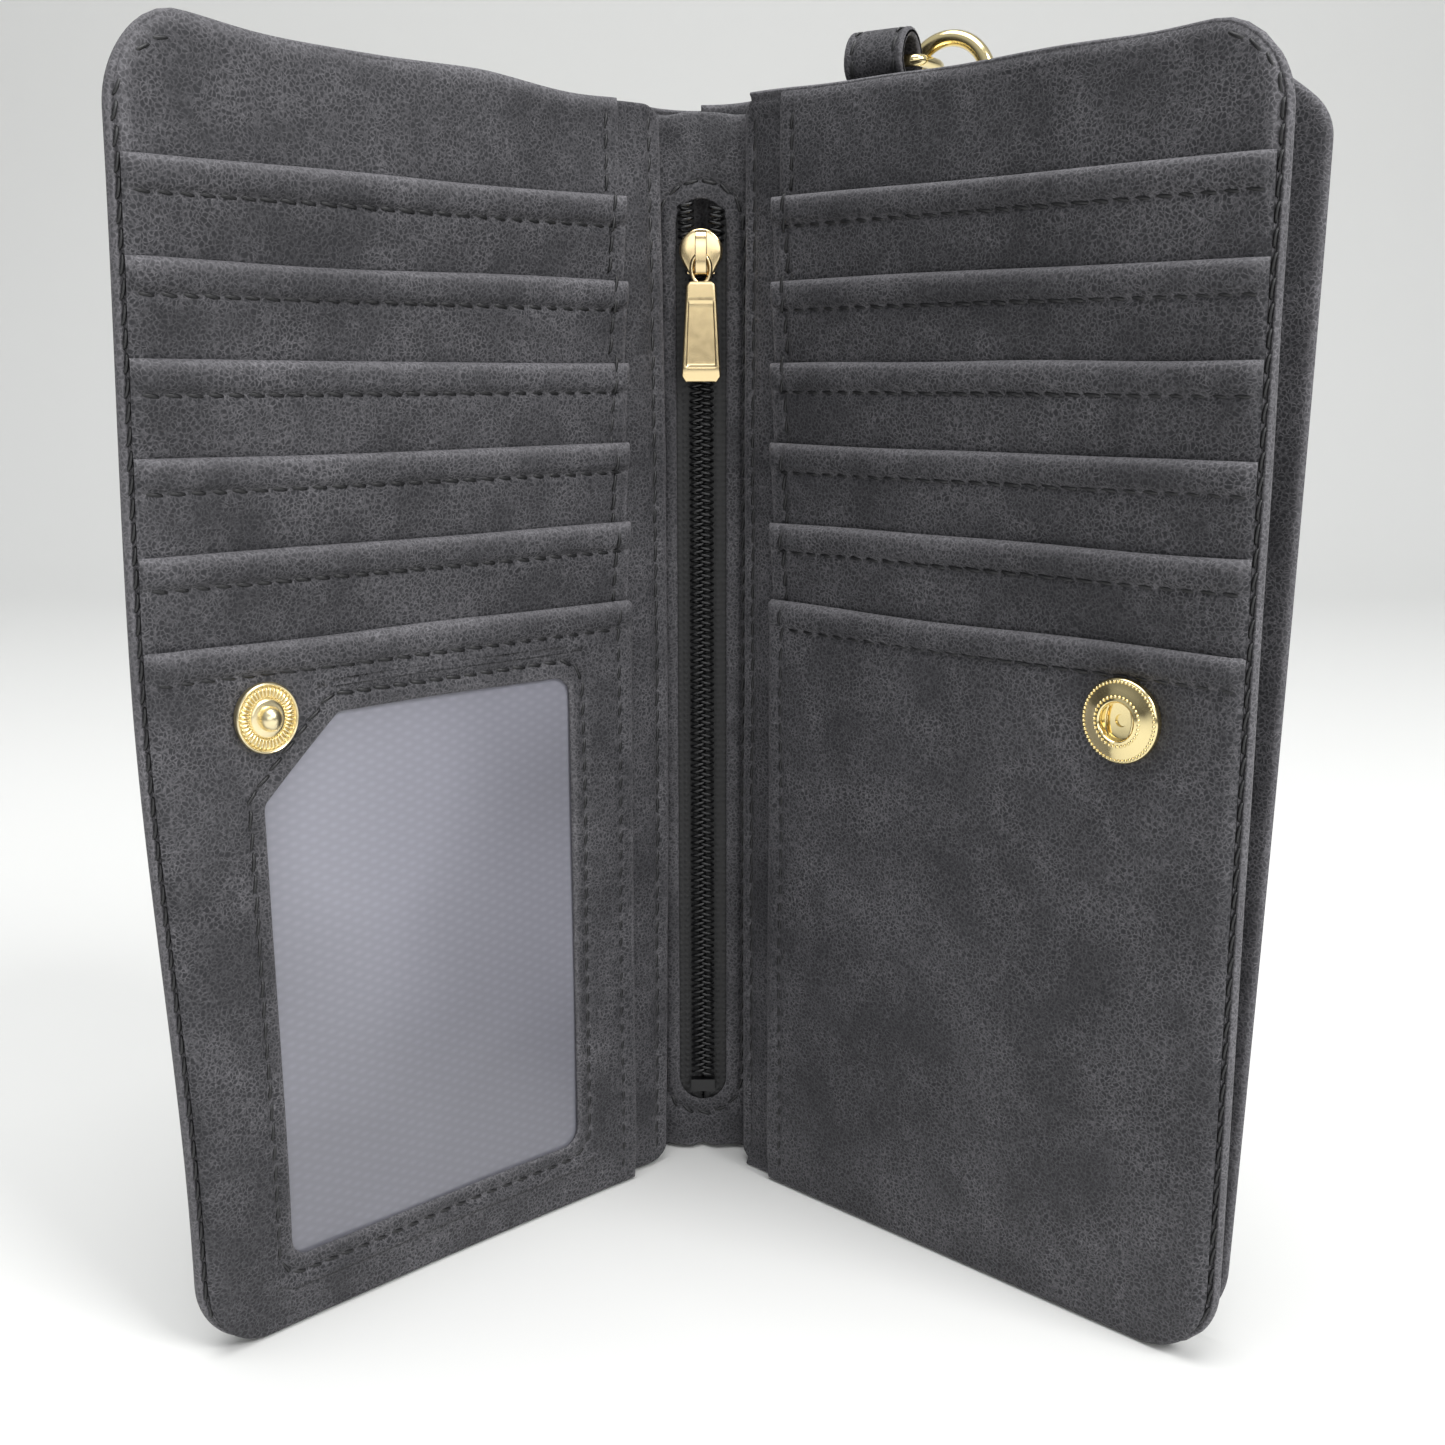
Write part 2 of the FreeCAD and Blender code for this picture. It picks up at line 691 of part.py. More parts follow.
def zip_teeth(label, side):
    """One side's coil: a bead along the tape with a row of teeth, meshed below the slider.

    The other side's teeth stand half a pitch higher, so the two rows lock into each other.
    Above the slider the same row carries on, moved out with the parted tape.
    """
    owner = body(label)
    inner, outer, reach = "dims.bead_inner", "dims.bead_outer", "dims.tooth_reach"
    pitch, thick = "dims.tooth_pitch", "dims.tooth_height"
    front = f"-({TAPE_FRONT})"
    shift = "0" if side == RIGHT else "dims.tooth_pitch / 2"
    runs = (
        ("meshed", "dims.zip_slot_low + 5", "dims.slider_low - 0.3", "0"),
        ("parted", f"{SLIDER_TOP} + 0.3", "dims.zip_slot_high - 2.8", "dims.tape_parted - 0.6"),
    )
    for name, low, high, out in runs:
        bead = outline(owner, f"{name}_bead", "XZ_Plane",
                       rectangle(side, f"{inner} + {out}", f"{outer} + {out}", low, high), front)
        pad(owner, f"{name}_bead_pad", bead, "dims.coil_thick")
        first = f"{low} + {shift}"
        tooth = outline(owner, f"{name}_tooth", "XZ_Plane",
                        rectangle(side, f"{out} - {reach}", f"{inner} + {out} + 0.2",
                                  first, f"{first} + {thick}"), front)
        tooth_pad = pad(owner, f"{name}_tooth_pad", tooth, "dims.coil_thick")
        count = int((value(high) - value(first) - value(thick)) / value(pitch)) + 1
        row = owner.newObject("PartDesign::LinearPattern", f"{name}_row")
        row.Originals = [tooth_pad]
        row.Direction = (tooth, ["V_Axis"])
        row.Mode = 1
        row.setExpression("Offset", pitch)
        row.Occurrences = count
        owner.Tip = row
        doc.recompute()
    keep(owner, label, SPINE)


def zip_bottom_stop():
    """A staple across both tapes that ends the chain at the foot of the slot."""
    owner = body("zip_bottom_stop")
    half, low = "dims.stop_half", "dims.zip_slot_low + 2.2"
    face = outline(owner, "outline", "XZ_Plane",
                   rectangle(RIGHT, f"-{half}", half, low, f"{low} + dims.stop_tall"),
                   f"-({TAPE_FRONT})")
    pad(owner, "staple", face, "dims.coil_thick + 0.1")
    keep(owner, "zip_bottom_stop", SPINE)


SLIDER_WAIST = 0.62
HEAD_START = -25.0
HEAD_CORNERS = 13


def zip_slider():
    """Front and back plates joined by a nose that parts the chain, with a bridge for the pull."""
    owner = body("zip_slider")
    half, low = "dims.slider_half", "dims.slider_low"
    plate = "dims.plate_thick"
    front = f"({TAPE_FRONT} - dims.coil_thick - 0.4)"
    rear = f"({TAPE_FRONT} + dims.tape_thick + 0.15)"
    waist = f"{half} * {SLIDER_WAIST}"
    shape = [(f"-{waist}", low), (waist, low)]
    for k in range(HEAD_CORNERS):
        angle = HEAD_START + k * (180 - 2 * HEAD_START) / (HEAD_CORNERS - 1)
        shape.append((f"{half} * cos({angle:.2f} deg)",
                      f"{SLIDER_TOP} - {half} + {half} * sin({angle:.2f} deg)"))
    face = outline(owner, "front_outline", "XZ_Plane", shape, f"-({front})")
    pad(owner, "front_plate", face, plate)
    rear_face = outline(owner, "rear_outline", "XZ_Plane", shape, f"-({rear} + {plate})")
    nose = outline(owner, "nose_outline", "XZ_Plane",
                   [("-0.9", f"{SLIDER_TOP} - 0.6"), ("0", f"{SLIDER_TOP} - 3.9"),
                    ("0.9", f"{SLIDER_TOP} - 0.6")], f"-({rear} + {plate})")
    pad(owner, "nose", nose, f"({rear}) - ({front}) + {plate} + 0.2")
    pad(owner, "rear_plate", rear_face, plate)
    flange_out, flange_in = f"{half} * 0.64", f"{half} * 0.64 - 0.5"
    for name, sign in (("left", LEFT), ("right", RIGHT)):
        rail = outline(owner, f"{name}_rail", "XZ_Plane",
                       rectangle(sign, flange_in, flange_out, low, f"{low} + 4.6"),
                       f"-({front} + 0.9)")
        pad(owner, f"{name}_rail_pad", rail, "1.0")
    # the bridge is a low hoop drawn from the side, and the pull's eye hangs in it
    bridge_front = f"({front} - {plate} - dims.bridge_tall)"
    root = f"{front} - {plate} + 0.1"
    hollow = f"{bridge_front} + dims.bridge_thick"
    foot, head = f"({low} + dims.bridge_foot)", f"({low} + dims.bridge_head)"
    leg, soft = "dims.bridge_leg", "dims.bridge_soft"
    hoop = [
        (root, head), (f"{bridge_front} + {soft}", head), (bridge_front, f"{head} - {soft}"),
        (bridge_front, f"{foot} + {soft}"), (f"{bridge_front} + {soft}", foot), (root, foot),
        (root, f"{foot} + {leg}"), (hollow, f"{foot} + {leg}"),
        (hollow, f"{head} - {leg}"), (root, f"{head} - {leg}"),
    ]
    side_view = outline(owner, "bridge_section", "YZ_Plane", hoop, "-dims.bridge_half")
    pad(owner, "bridge", side_view, "2 * dims.bridge_half")
    keep(owner, "zip_slider", SPINE)
    return bridge_front


def zip_pull(bridge_front):
    """A flat tapered tab whose eye goes round the foot of the slider's bridge.

    The bar above the eye lies in the middle of the bridge's hollow, and the tab swings about it.
    """
    owner = body("zip_pull_tab")
    top = "(dims.slider_low + 3.9)"
    foot = f"({top} - dims.pull_long)"
    head, tail = "dims.pull_top_half", "dims.pull_low_half"
    shape = [
        (f"-{tail} + 0.8", foot), (f"{tail} - 0.8", foot), (tail, f"{foot} + 0.9"),
        (head, f"{top} - 3.4"), (f"{head} * 0.86", f"{top} - 1.1"), (f"{head} * 0.45", top),
        (f"-{head} * 0.45", top), (f"-{head} * 0.86", f"{top} - 1.1"),
        (f"-{head}", f"{top} - 3.4"), (f"-{tail}", f"{foot} + 0.9"),
    ]
    centre = f"({bridge_front} + (dims.bridge_tall + dims.bridge_thick) / 2)"
    back = f"({centre} + dims.pull_thick / 2)"
    face = outline(owner, "outline", "XZ_Plane", shape, f"-({back})")
    pad(owner, "tab", face, "dims.pull_thick")
    half, high = "dims.eye_half", f"{top} - dims.eye_bar"
    eye = rectangle(RIGHT, f"-{half}", half, f"{high} - dims.eye_long", high)
    cut = outline(owner, "eye", "XZ_Plane", eye, f"-({back})")
    pocket(owner, "eye_cut", cut, "3 * dims.pull_thick")
    fillet(
        owner,
        "eye_corners",
        f"{half} * 0.8",
        lambda ends: len(ends) == 2 and near(abs(ends[0].x), value(half))
        and near(ends[0].x, ends[1].x) and near(ends[0].z, ends[1].z)
        and not near(ends[0].y, ends[1].y),
    )
    recess = [
        (f"-{tail} + 1.1", f"{foot} + 1.6"), (f"{tail} - 1.1", f"{foot} + 1.6"),
        (f"{head} - 0.9", f"{top} - 6.4"), (f"-{head} + 0.9", f"{top} - 6.4"),
    ]
    sunk = outline(owner, "recess", "XZ_Plane", recess,
                   f"-({back} - dims.pull_thick + dims.recess_deep)")
    pocket(owner, "recess_cut", sunk, "dims.pull_thick")
    keep(owner, "zip_pull_tab", SPINE)
    return Vector(0, value(centre), value(f"{top} - dims.eye_bar / 2"))


WIRE_SIDES = 6


def wire_section(radius):
    """The corners of the rings' faceted wire, round its middle."""
    step = 2 * math.pi / WIRE_SIDES
    return [(radius * math.cos(step * (k + 0.5)), radius * math.sin(step * (k + 0.5)))
            for k in range(WIRE_SIDES)]


def ring_tab():
    """A stitched strap folded into a loop over the top edge, its two legs sewn to the cover."""
    owner = body("ring_tab")
    cover_back = "dims.flap_half"
    thick, bore = "dims.tab_thick", "dims.tab_bore"
    centre_y = f"({cover_back} + {thick})"
    centre_z = f"(dims.wallet_height + {bore} + {thick} + 0.4)"
    left = "dims.tab_centre - dims.tab_width / 2"
    legs = outline(owner, "leg_section", "YZ_Plane",
                   [(cover_back, f"dims.wallet_height - dims.tab_leg"),
                    (f"{cover_back} + 2 * {thick}", "dims.wallet_height - dims.tab_leg"),
                    (f"{cover_back} + 2 * {thick}", f"{centre_z} - {bore} * 0.7"),
                    (cover_back, f"{centre_z} - {bore} * 0.7")], left)
    pad(owner, "legs", legs, "dims.tab_width")
    loop = owner.newObject("Sketcher::SketchObject", "loop_section")
    support = [f for f in owner.Origin.OriginFeatures if f.Role == "YZ_Plane"][0]
    loop.AttachmentSupport = [(support, "")]
    loop.MapMode = "FlatFace"
    loop.setExpression("AttachmentOffset.Base.z", left)
    middle = Vector(value(centre_y), value(centre_z), 0)
    for number, radius in enumerate((f"{bore} + {thick}", bore)):
        loop.addGeometry(Part.Circle(middle, Vector(0, 0, 1), value(radius)), False)
        bound = [("DistanceX", centre_y), ("DistanceY", centre_z)]
        for kind, expression in bound:
            index = loop.addConstraint(
                Sketcher.Constraint(kind, -1, 1, number, 3, value(expression))
            )
            loop.setExpression(f"Constraints[{index}]", expression)
        index = loop.addConstraint(Sketcher.Constraint("Radius", number, value(radius)))
        loop.setExpression(f"Constraints[{index}]", radius)
    pad(owner, "loop", loop, "dims.tab_width")
    bore_cut = outline(owner, "bore_clear", "YZ_Plane",
                       [(f"{centre_y} - {bore} * 0.5", f"{centre_z} - {bore} * 0.8"),
                        (f"{centre_y} + {bore} * 0.5", f"{centre_z} - {bore} * 0.8"),
                        (f"{centre_y} + {bore} * 0.5", centre_z),
                        (f"{centre_y} - {bore} * 0.5", centre_z)], f"{left} - 1")
    pocket(owner, "bore", bore_cut, "dims.tab_width + 2")
    keep(owner, "ring_tab", RIGHT_COVER)
    return centre_y, centre_z


def rings(centre_y, centre_z):
    """The D-ring's straight bar lies in the tab; the clip ring is linked round its right leg."""
    bar_y, bar_z = value(centre_y), value(centre_z)
    middle = value("dims.tab_centre")
    half, deep = value("dims.ring_long / 2"), value("dims.ring_deep")
    straight = deep - half
    turn = value("dims.ring_turn")

    def at(across, back):
        return Vector(middle + across, bar_y + back, bar_z)

    corner = turn * (1 - math.sqrt(0.5))
    edges = [
        Part.LineSegment(at(-half + turn, 0), at(half - turn, 0)).toShape(),
        Part.Arc(at(half - turn, 0), at(half - corner, corner), at(half, turn)).toShape(),
        Part.LineSegment(at(half, turn), at(half, straight)).toShape(),
        Part.Arc(at(half, straight), at(0, deep), at(-half, straight)).toShape(),
        Part.LineSegment(at(-half, straight), at(-half, turn)).toShape(),
        Part.Arc(at(-half, turn), at(-half + corner, corner), at(-half + turn, 0)).toShape(),
    ]
    start = edges[0].valueAt(edges[0].FirstParameter)
    corners = [start + Vector(0, a, b) for a, b in wire_section(value("dims.ring_wire"))]
    section = Part.makePolygon(corners + [corners[0]])
    bow = doc.addObject("Part::Feature", "d_ring_bow")
    bow.Shape = Part.Wire(edges).makePipeShell([section], True, False)
    keep(bow, "d_ring", RIGHT_COVER)
    clip_x = "(dims.tab_centre + dims.ring_long / 2 + dims.clip_out)"
    clip_y = f"({centre_y} + dims.ring_deep - dims.ring_long / 2 + dims.clip_back)"
    clip_z = f"({centre_z} - dims.clip_drop)"
    profile = [(f"dims.clip_radius + {a:.4f} * dims.clip_wire", f"{b:.4f} * dims.clip_wire")
               for a, b in wire_section(1.0)]
    turned("clip_ring", RIGHT_COVER, profile, clip_y, clip_x, clip_z)
    centre = Vector(value(clip_x), value(clip_y), value(clip_z))
    return Vector(middle + half, centre.y, bar_z), centre


def world(place, point):
    """Where a point drawn on a leaf stands in the finished assembly."""
    axis_x, axis_y, angle = place
    turned_point = Rotation(Vector(0, 0, 1), value(angle)).multVec(point)
    base = Vector(value(f"{axis_x} - dims.origin_x"), value(f"{axis_y} - dims.origin_y"), 0)
    return turned_point + base


left_leaf()
right_leaf()
right_cover()
press_stud()
spine_shell("spine_cover", "dims.spine_outer", "dims.spine_outer - dims.spine_thick", "0",
            "dims.wallet_height")
zip_panel()
for tape_side, tape_name in ((LEFT, "left"), (RIGHT, "right")):
    zip_tape(f"zip_tape_{tape_name}", tape_side)
    zip_teeth(f"zip_teeth_{tape_name}", tape_side)
zip_bottom_stop()
BRIDGE_FRONT = zip_slider()
PULL_PIVOT = zip_pull(BRIDGE_FRONT)
BAR_Y, BAR_Z = ring_tab()
RING_LEG, CLIP_CENTRE = rings(BAR_Y, BAR_Z)
doc.recompute()

# the assembly's origin goes to the middle of its base
whole = FreeCAD.BoundBox()
for thing in SUBPARTS:
    whole.add(thing.Shape.optimalBoundingBox(False))
dims.set(dims.getCellFromAlias("origin_x"), str(round(whole.Center.x, 3)))
dims.set(dims.getCellFromAlias("origin_y"), str(round(whole.Center.y, 3)))
doc.recompute()

for thing in doc.Objects:
    bad = {"Invalid", "Error"} & set(thing.State)
    assert not bad, f"{thing.Name}: {thing.State}"
os.makedirs("parts", exist_ok=True)
for thing in SUBPARTS:
    shape = thing.Shape
    assert not shape.isNull() and shape.isValid(), thing.Label
    shape.exportStep(f"parts/{thing.Label}.step")
    low = shape.optimalBoundingBox(False).ZMin
    print(f"{thing.Label}: {len(shape.Solids)} solid, {len(shape.Faces)} faces, "
          f"{shape.Volume:.1f} mm3, lowest {low:.2f}")

print("size", [round(v, 2) for v in (whole.XLength, whole.YLength, whole.ZLength)], whole.ZMin)
AXES = {
    "left_fold": world(LEFT_LEAF, Vector(0, 0, 0)),
    "right_fold": world(RIGHT_COVER, Vector(0, 0, 0)),
    "pull_pivot": world(SPINE, PULL_PIVOT),
    "ring_bar": world(RIGHT_COVER, Vector(0, value(BAR_Y), value(BAR_Z))),
    "ring_leg": world(RIGHT_COVER, RING_LEG),
    "clip_centre": world(RIGHT_COVER, CLIP_CENTRE),
    "left_foot": world(LEFT_LEAF, Vector(-50, -1.95, 0)),
}
for name, point in AXES.items():
    print("axis", name, [round(c, 3) for c in point])
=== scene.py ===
# %% [markdown]
# # A long wallet, dressed for its picture
# The frame holds every solid piece of the wallet at its real size. This lesson puts leather, thread,
# film and metal round that frame. A wallet like this one is cut from thin sheets, turned at their edges,
# stacked and sewn, so almost every piece below is a sheet with a rolled edge. We build such sheets with
# plain mesh code, because then each hem, puff and stitch hole has a size in millimetres.

# %% The frame and its two folds
import json
import math
import random

import bmesh
import bpy
import numpy as np
from mathutils import Matrix, Vector


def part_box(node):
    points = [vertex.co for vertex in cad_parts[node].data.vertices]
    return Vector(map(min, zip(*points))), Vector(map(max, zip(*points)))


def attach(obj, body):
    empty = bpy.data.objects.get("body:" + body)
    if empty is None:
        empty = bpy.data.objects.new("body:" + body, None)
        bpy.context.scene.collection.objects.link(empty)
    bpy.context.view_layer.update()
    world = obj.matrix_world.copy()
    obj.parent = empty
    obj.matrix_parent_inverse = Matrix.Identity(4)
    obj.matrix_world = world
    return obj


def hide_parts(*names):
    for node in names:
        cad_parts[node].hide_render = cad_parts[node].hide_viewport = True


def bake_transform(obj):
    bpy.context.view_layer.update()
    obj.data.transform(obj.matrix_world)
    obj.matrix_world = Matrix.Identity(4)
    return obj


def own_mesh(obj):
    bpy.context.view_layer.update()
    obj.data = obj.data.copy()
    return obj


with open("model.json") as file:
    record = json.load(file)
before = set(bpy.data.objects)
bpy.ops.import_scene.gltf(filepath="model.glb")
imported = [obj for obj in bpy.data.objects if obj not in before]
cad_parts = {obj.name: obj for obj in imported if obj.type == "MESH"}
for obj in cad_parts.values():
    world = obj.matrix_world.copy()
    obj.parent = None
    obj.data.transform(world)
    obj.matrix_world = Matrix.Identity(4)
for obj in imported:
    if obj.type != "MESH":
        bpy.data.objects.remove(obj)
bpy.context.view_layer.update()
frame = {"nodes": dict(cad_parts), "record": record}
MM = 0.001
record = frame["record"]
JOINTS = {joint["name"]: joint for joint in record["behaviour"]["joints"]}
LEFT_FOLD = Vector(JOINTS["left_fold"]["pos_m"])
RIGHT_FOLD = Vector(JOINTS["right_fold"]["pos_m"])
LEFT_OPEN = JOINTS["left_fold"]["range_deg"][1]
COVER_OPEN = JOINTS["right_fold"]["range_deg"][1]
RIGHT_OPEN = COVER_OPEN - JOINTS["compartment_open"]["range_deg"][0]
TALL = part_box("left_cover")[1].z / MM
print("height", round(TALL, 1), "mm; leaves open", LEFT_OPEN, RIGHT_OPEN, COVER_OPEN, "degrees from flat")

# %% [markdown]
# ## Leaves as flat drawings
# A leaf is easiest to think of while it lies flat. So each point is drawn as (u, y, z): u is the way
# along the leaf from its fold, y is the depth (negative towards the inside of the wallet) and z is up.
# One function then turns the drawing about its fold into the place where the frame holds that leaf.
# The alternative is to model flat and rotate objects, but then every piece needs its own transform.


# %% Placing a leaf's points
class Leaf:
    """A leaf of the wallet: which side of the spine it is on, its fold and how far it stands open."""

    def __init__(self, body, side, fold, degrees, bend=None):
        self.body = body
        self.side = side
        self.fold = Vector((fold.x, fold.y, 0))
        self.turn = Matrix.Rotation(math.radians(-side * degrees), 3, "Z")
        self.bend = bend

    def place(self, u, y, z):
        if self.bend:
            u, y = self.bend(u, y, z)
        return self.fold + self.turn @ Vector((self.side * u * MM, y * MM, z * MM))

    def out(self):
        """The direction in which this leaf's inside faces."""
        return self.turn @ Vector((0, -1, 0))


def ramp(share):
    share = min(max(share, 0.0), 1.0)
    return share * share * (3 - 2 * share)


LEAF_DRAWN = 101.7


def left_bend(u, y, z):
    """The left leaf curls a little towards its inside at both outer corners, most at the foot."""
    curl = 3.6 * ramp((104.0 - z) / 92.0) + 2.2 * ramp((z - 100.0) / 95.0)
    short = 1.3 + 1.9 * ramp((108.0 - z) / 88.0) + 0.7 * ramp((z - 110.0) / 80.0)
    return u - short * ramp((u - 66.0) / 34.0), y - curl * (max(u, 0.0) / LEAF_DRAWN) ** 2


COVER_TWIST = 7.6
TWIST_TOP = 182.0


def cover_bend(u, y, z):
    """The cover hangs open at its top, while its foot leans against the right leaf."""
    turn = math.radians(COVER_TWIST * min(max((TWIST_TOP - z) / TWIST_TOP, 0.0), 1.0) ** 1.2)
    u -= 2.4 * ramp((u - 40.0) / 60.0)
    y -= 2.2 * ramp((u - 28.0) / 72.0)
    return u * math.cos(turn) + y * math.sin(turn), y * math.cos(turn) - u * math.sin(turn)


LEFT = Leaf("left_leaf", -1, LEFT_FOLD, LEFT_OPEN, left_bend)
RIGHT = Leaf("right_leaf", 1, RIGHT_FOLD, RIGHT_OPEN)
COVER = Leaf("right_cover", 1, RIGHT_FOLD, COVER_OPEN, cover_bend)
FOLD_MIDDLE = (LEFT_FOLD + RIGHT_FOLD) / 2


class Spine:
    """The spine's own drawing: x from the middle of the gutter, y depth from the fold line."""

    body = "spine"
    side = 1

    def place(self, x, y, z):
        return FOLD_MIDDLE + Vector((x * MM, y * MM, z * MM))

    def out(self):
        return Vector((0, -1, 0))


SPINE = Spine()
LEAF_WIDTH = 100.9
CORNER = 12.0
RIM = 1.1
GUTTER = 9.0
PANEL_OUTER = LEAF_WIDTH - RIM
CARD_FRONT = -5.4
FIRST_DROP = 16.9
POCKET_PITCH = 13.7
POCKET_TOPS = [TALL - FIRST_DROP - POCKET_PITCH * n for n in range(6)]
print("pocket mouths at", [round(top, 1) for top in POCKET_TOPS])

# %% [markdown]
# ## Materials
# The leather is polyurethane on a cloth backing, sueded so that it scatters light: high roughness, a
# little sheen and cloudy lighter patches where the pile lies the other way. The thread is bonded
# polyester, slightly glossy. The metal is zinc with a pale gold plate. The film is frosted PVC, and the
# zip is black nylon. Each gets its real IOR, and its pattern sizes are given in millimetres.


# %% Colour and node helpers
def colour(hex_code):
    """sRGB hex to the linear RGBA that the shaders want."""
    parts = [int(hex_code[i:i + 2], 16) / 255 for i in (1, 3, 5)]
    linear = [c / 12.92 if c <= 0.04045 else ((c + 0.055) / 1.055) ** 2.4 for c in parts]
    return (*linear, 1.0)


def add(material, kind, links=None, **settings):
    """Adds one node; links maps an input's name or number to another node's output."""
    node = material.node_tree.nodes.new(kind)
    for name, setting in settings.items():
        if name in node.inputs:
            node.inputs[name].default_value = setting
        else:
            setattr(node, name, setting)
    for name, source in (links or {}).items():
        material.node_tree.links.new(source, node.inputs[name])
    return node


def new_material(name, base, roughness, ior=1.5, metallic=0.0, **extra):
    """A material whose Principled shader has its constants on its own sockets."""
    material = bpy.data.materials.new(name)
    material.use_nodes = True
    shader = material.node_tree.nodes["Principled BSDF"]
    shader.inputs["Base Color"].default_value = colour(base)
    shader.inputs["Roughness"].default_value = roughness
    shader.inputs["IOR"].default_value = ior
    shader.inputs["Metallic"].default_value = metallic
    for socket, setting in extra.items():
        shader.inputs[socket.replace("_", " ")].default_value = setting
    return material, shader


def per_metre(size_mm):
    """A texture scale that makes one feature about this many millimetres across."""
    return 1000.0 / size_mm


# %% Sueded polyurethane leather
def span_node(material, source, low, high, to_low, to_high):
    """Maps one range of values to another and stays inside it."""
    node = add(material, "ShaderNodeMapRange", {"Value": source})
    for socket, setting in (("From Min", low), ("From Max", high),
                            ("To Min", to_low), ("To Max", to_high)):
        node.inputs[socket].default_value = setting
    return node


def math_node(material, operation, first, second, clamp=False):
    """Combines two values; each is a number or another node's output."""
    node = add(material, "ShaderNodeMath", operation=operation, use_clamp=clamp)
    for number, source in enumerate((first, second)):
        if isinstance(source, (int, float)):
            node.inputs[number].default_value = source
        else:
            material.node_tree.links.new(source, node.inputs[number])
    return node.outputs[0]


def mixed(material, share, first, second, blend_type="MIX"):
    """Mixes two colours; each is a hex code or another node's output."""
    node = add(material, "ShaderNodeMix", data_type="RGBA", blend_type=blend_type)
    for number, source in ((0, share), (6, first), (7, second)):
        if isinstance(source, str):
            node.inputs[number].default_value = colour(source)
        elif isinstance(source, (int, float)):
            node.inputs[number].default_value = source
        else:
            material.node_tree.links.new(source, node.inputs[number])
    return node.outputs[2]


CLOUD_MM = 22.0
GRAIN_MM = 0.7
WARP_MM = 1.8


def crackled_grain(material, where, size_mm):
    """The fine net of pale ridges between the grain's small cells, 1 on a ridge and 0 in a cell."""
    drift = add(material, "ShaderNodeTexNoise", {"Vector": where}, Scale=per_metre(3.2), Detail=3.0,
                Roughness=0.7).outputs["Color"]
    warp = add(material, "ShaderNodeVectorMath", {0: drift, 2: where}, operation="MULTIPLY_ADD")
    warp.inputs[1].default_value = (WARP_MM * MM,) * 3
    cells = add(material, "ShaderNodeTexVoronoi", {"Vector": warp.outputs["Vector"]},
                feature="DISTANCE_TO_EDGE", Scale=per_metre(size_mm)).outputs["Distance"]
    return span_node(material, cells, 0.0, 0.24, 1.0, 0.0).outputs["Result"]


def sueded_leather(name, dark, mid, pale):
    """Dark coat with a fine net of pale ridges, brushed lighter in soft clouds, and lighter along every
    edge and seam: rubbed wear with a painted highlight.
    """
    material, shader = new_material(name, mid, 0.7, ior=1.45, Sheen_Weight=0.05, Sheen_Roughness=0.5,
                                    Specular_IOR_Level=0.32)
    links = material.node_tree.links
    where = add(material, "ShaderNodeTexCoord").outputs["Object"]
    cloud = add(material, "ShaderNodeTexNoise", {"Vector": where}, Scale=per_metre(CLOUD_MM), Detail=4.0,
                Roughness=0.55, Distortion=0.2).outputs["Fac"]
    wisp = add(material, "ShaderNodeTexNoise", {"Vector": where}, Scale=per_metre(9.0), Detail=5.0,
               Roughness=0.55, Distortion=0.6).outputs["Fac"]
    speck = add(material, "ShaderNodeTexNoise", {"Vector": where}, Scale=per_metre(0.5), Detail=3.0,
                Roughness=0.65).outputs["Fac"]
    speck = span_node(material, speck, 0.4, 0.7, 0.35, 1.0).outputs["Result"]
    ridge = math_node(material, "MULTIPLY", crackled_grain(material, where, GRAIN_MM), speck)
    # This attribute is partly rubbed wear and partly a painted highlight on raised edges and seam bulges.
    wear_and_painted_highlight = add(material, "ShaderNodeAttribute", attribute_name="wear_and_painted_highlight").outputs["Fac"]
    lift = math_node(material, "ADD", math_node(material, "MULTIPLY", cloud, 0.5),
                     math_node(material, "MULTIPLY", wisp, 0.5))
    lift = span_node(material, lift, 0.40, 0.62, 0.25, 0.72).outputs["Result"]
    lift = math_node(material, "ADD", lift, math_node(material, "MULTIPLY", wear_and_painted_highlight, 0.5), clamp=True)
    coat = mixed(material, span_node(material, cloud, 0.38, 0.6, 0.0, 1.0).outputs["Result"], dark, mid)
    brushed = mixed(material, math_node(material, "MULTIPLY", ridge, lift), coat, pale)
    # Painted highlight with rubbed wear: edges and seam bulges are mixed towards the pale colour.
    rubbed_and_highlighted = mixed(material, math_node(material, "MULTIPLY", wear_and_painted_highlight, 0.42), brushed, pale)
    links.new(rubbed_and_highlighted, shader.inputs["Base Color"])
    relief = math_node(material, "ADD", math_node(material, "MULTIPLY", ridge, 0.8),
                       math_node(material, "MULTIPLY", wisp, 0.5))
    bump = add(material, "ShaderNodeBump", {"Height": relief}, Strength=0.6, Distance=0.12 * MM)
    links.new(bump.outputs["Normal"], shader.inputs["Normal"])
    links.new(span_node(material, wisp, 0.3, 0.7, 0.6, 0.76).outputs["Result"],
              shader.inputs["Roughness"])
    return material


LEATHER = sueded_leather("sueded_pu_leather", "#27272a", "#303033", "#848286")
print("leather", LEATHER.name)


# %% Thread, lining, board, film, nylon and plated metal
def bonded_thread():
    material, shader = new_material("bonded_polyester_thread", "#131315", 0.5, ior=1.58)
    where = add(material, "ShaderNodeTexCoord").outputs["Object"]
    ply = add(material, "ShaderNodeTexNoise", {"Vector": where}, Scale=per_metre(0.25), Detail=2.0)
    bump = add(material, "ShaderNodeBump", {"Height": ply.outputs["Fac"]}, Strength=0.5,
               Distance=0.06 * MM)
    material.node_tree.links.new(bump.outputs["Normal"], shader.inputs["Normal"])
    return material


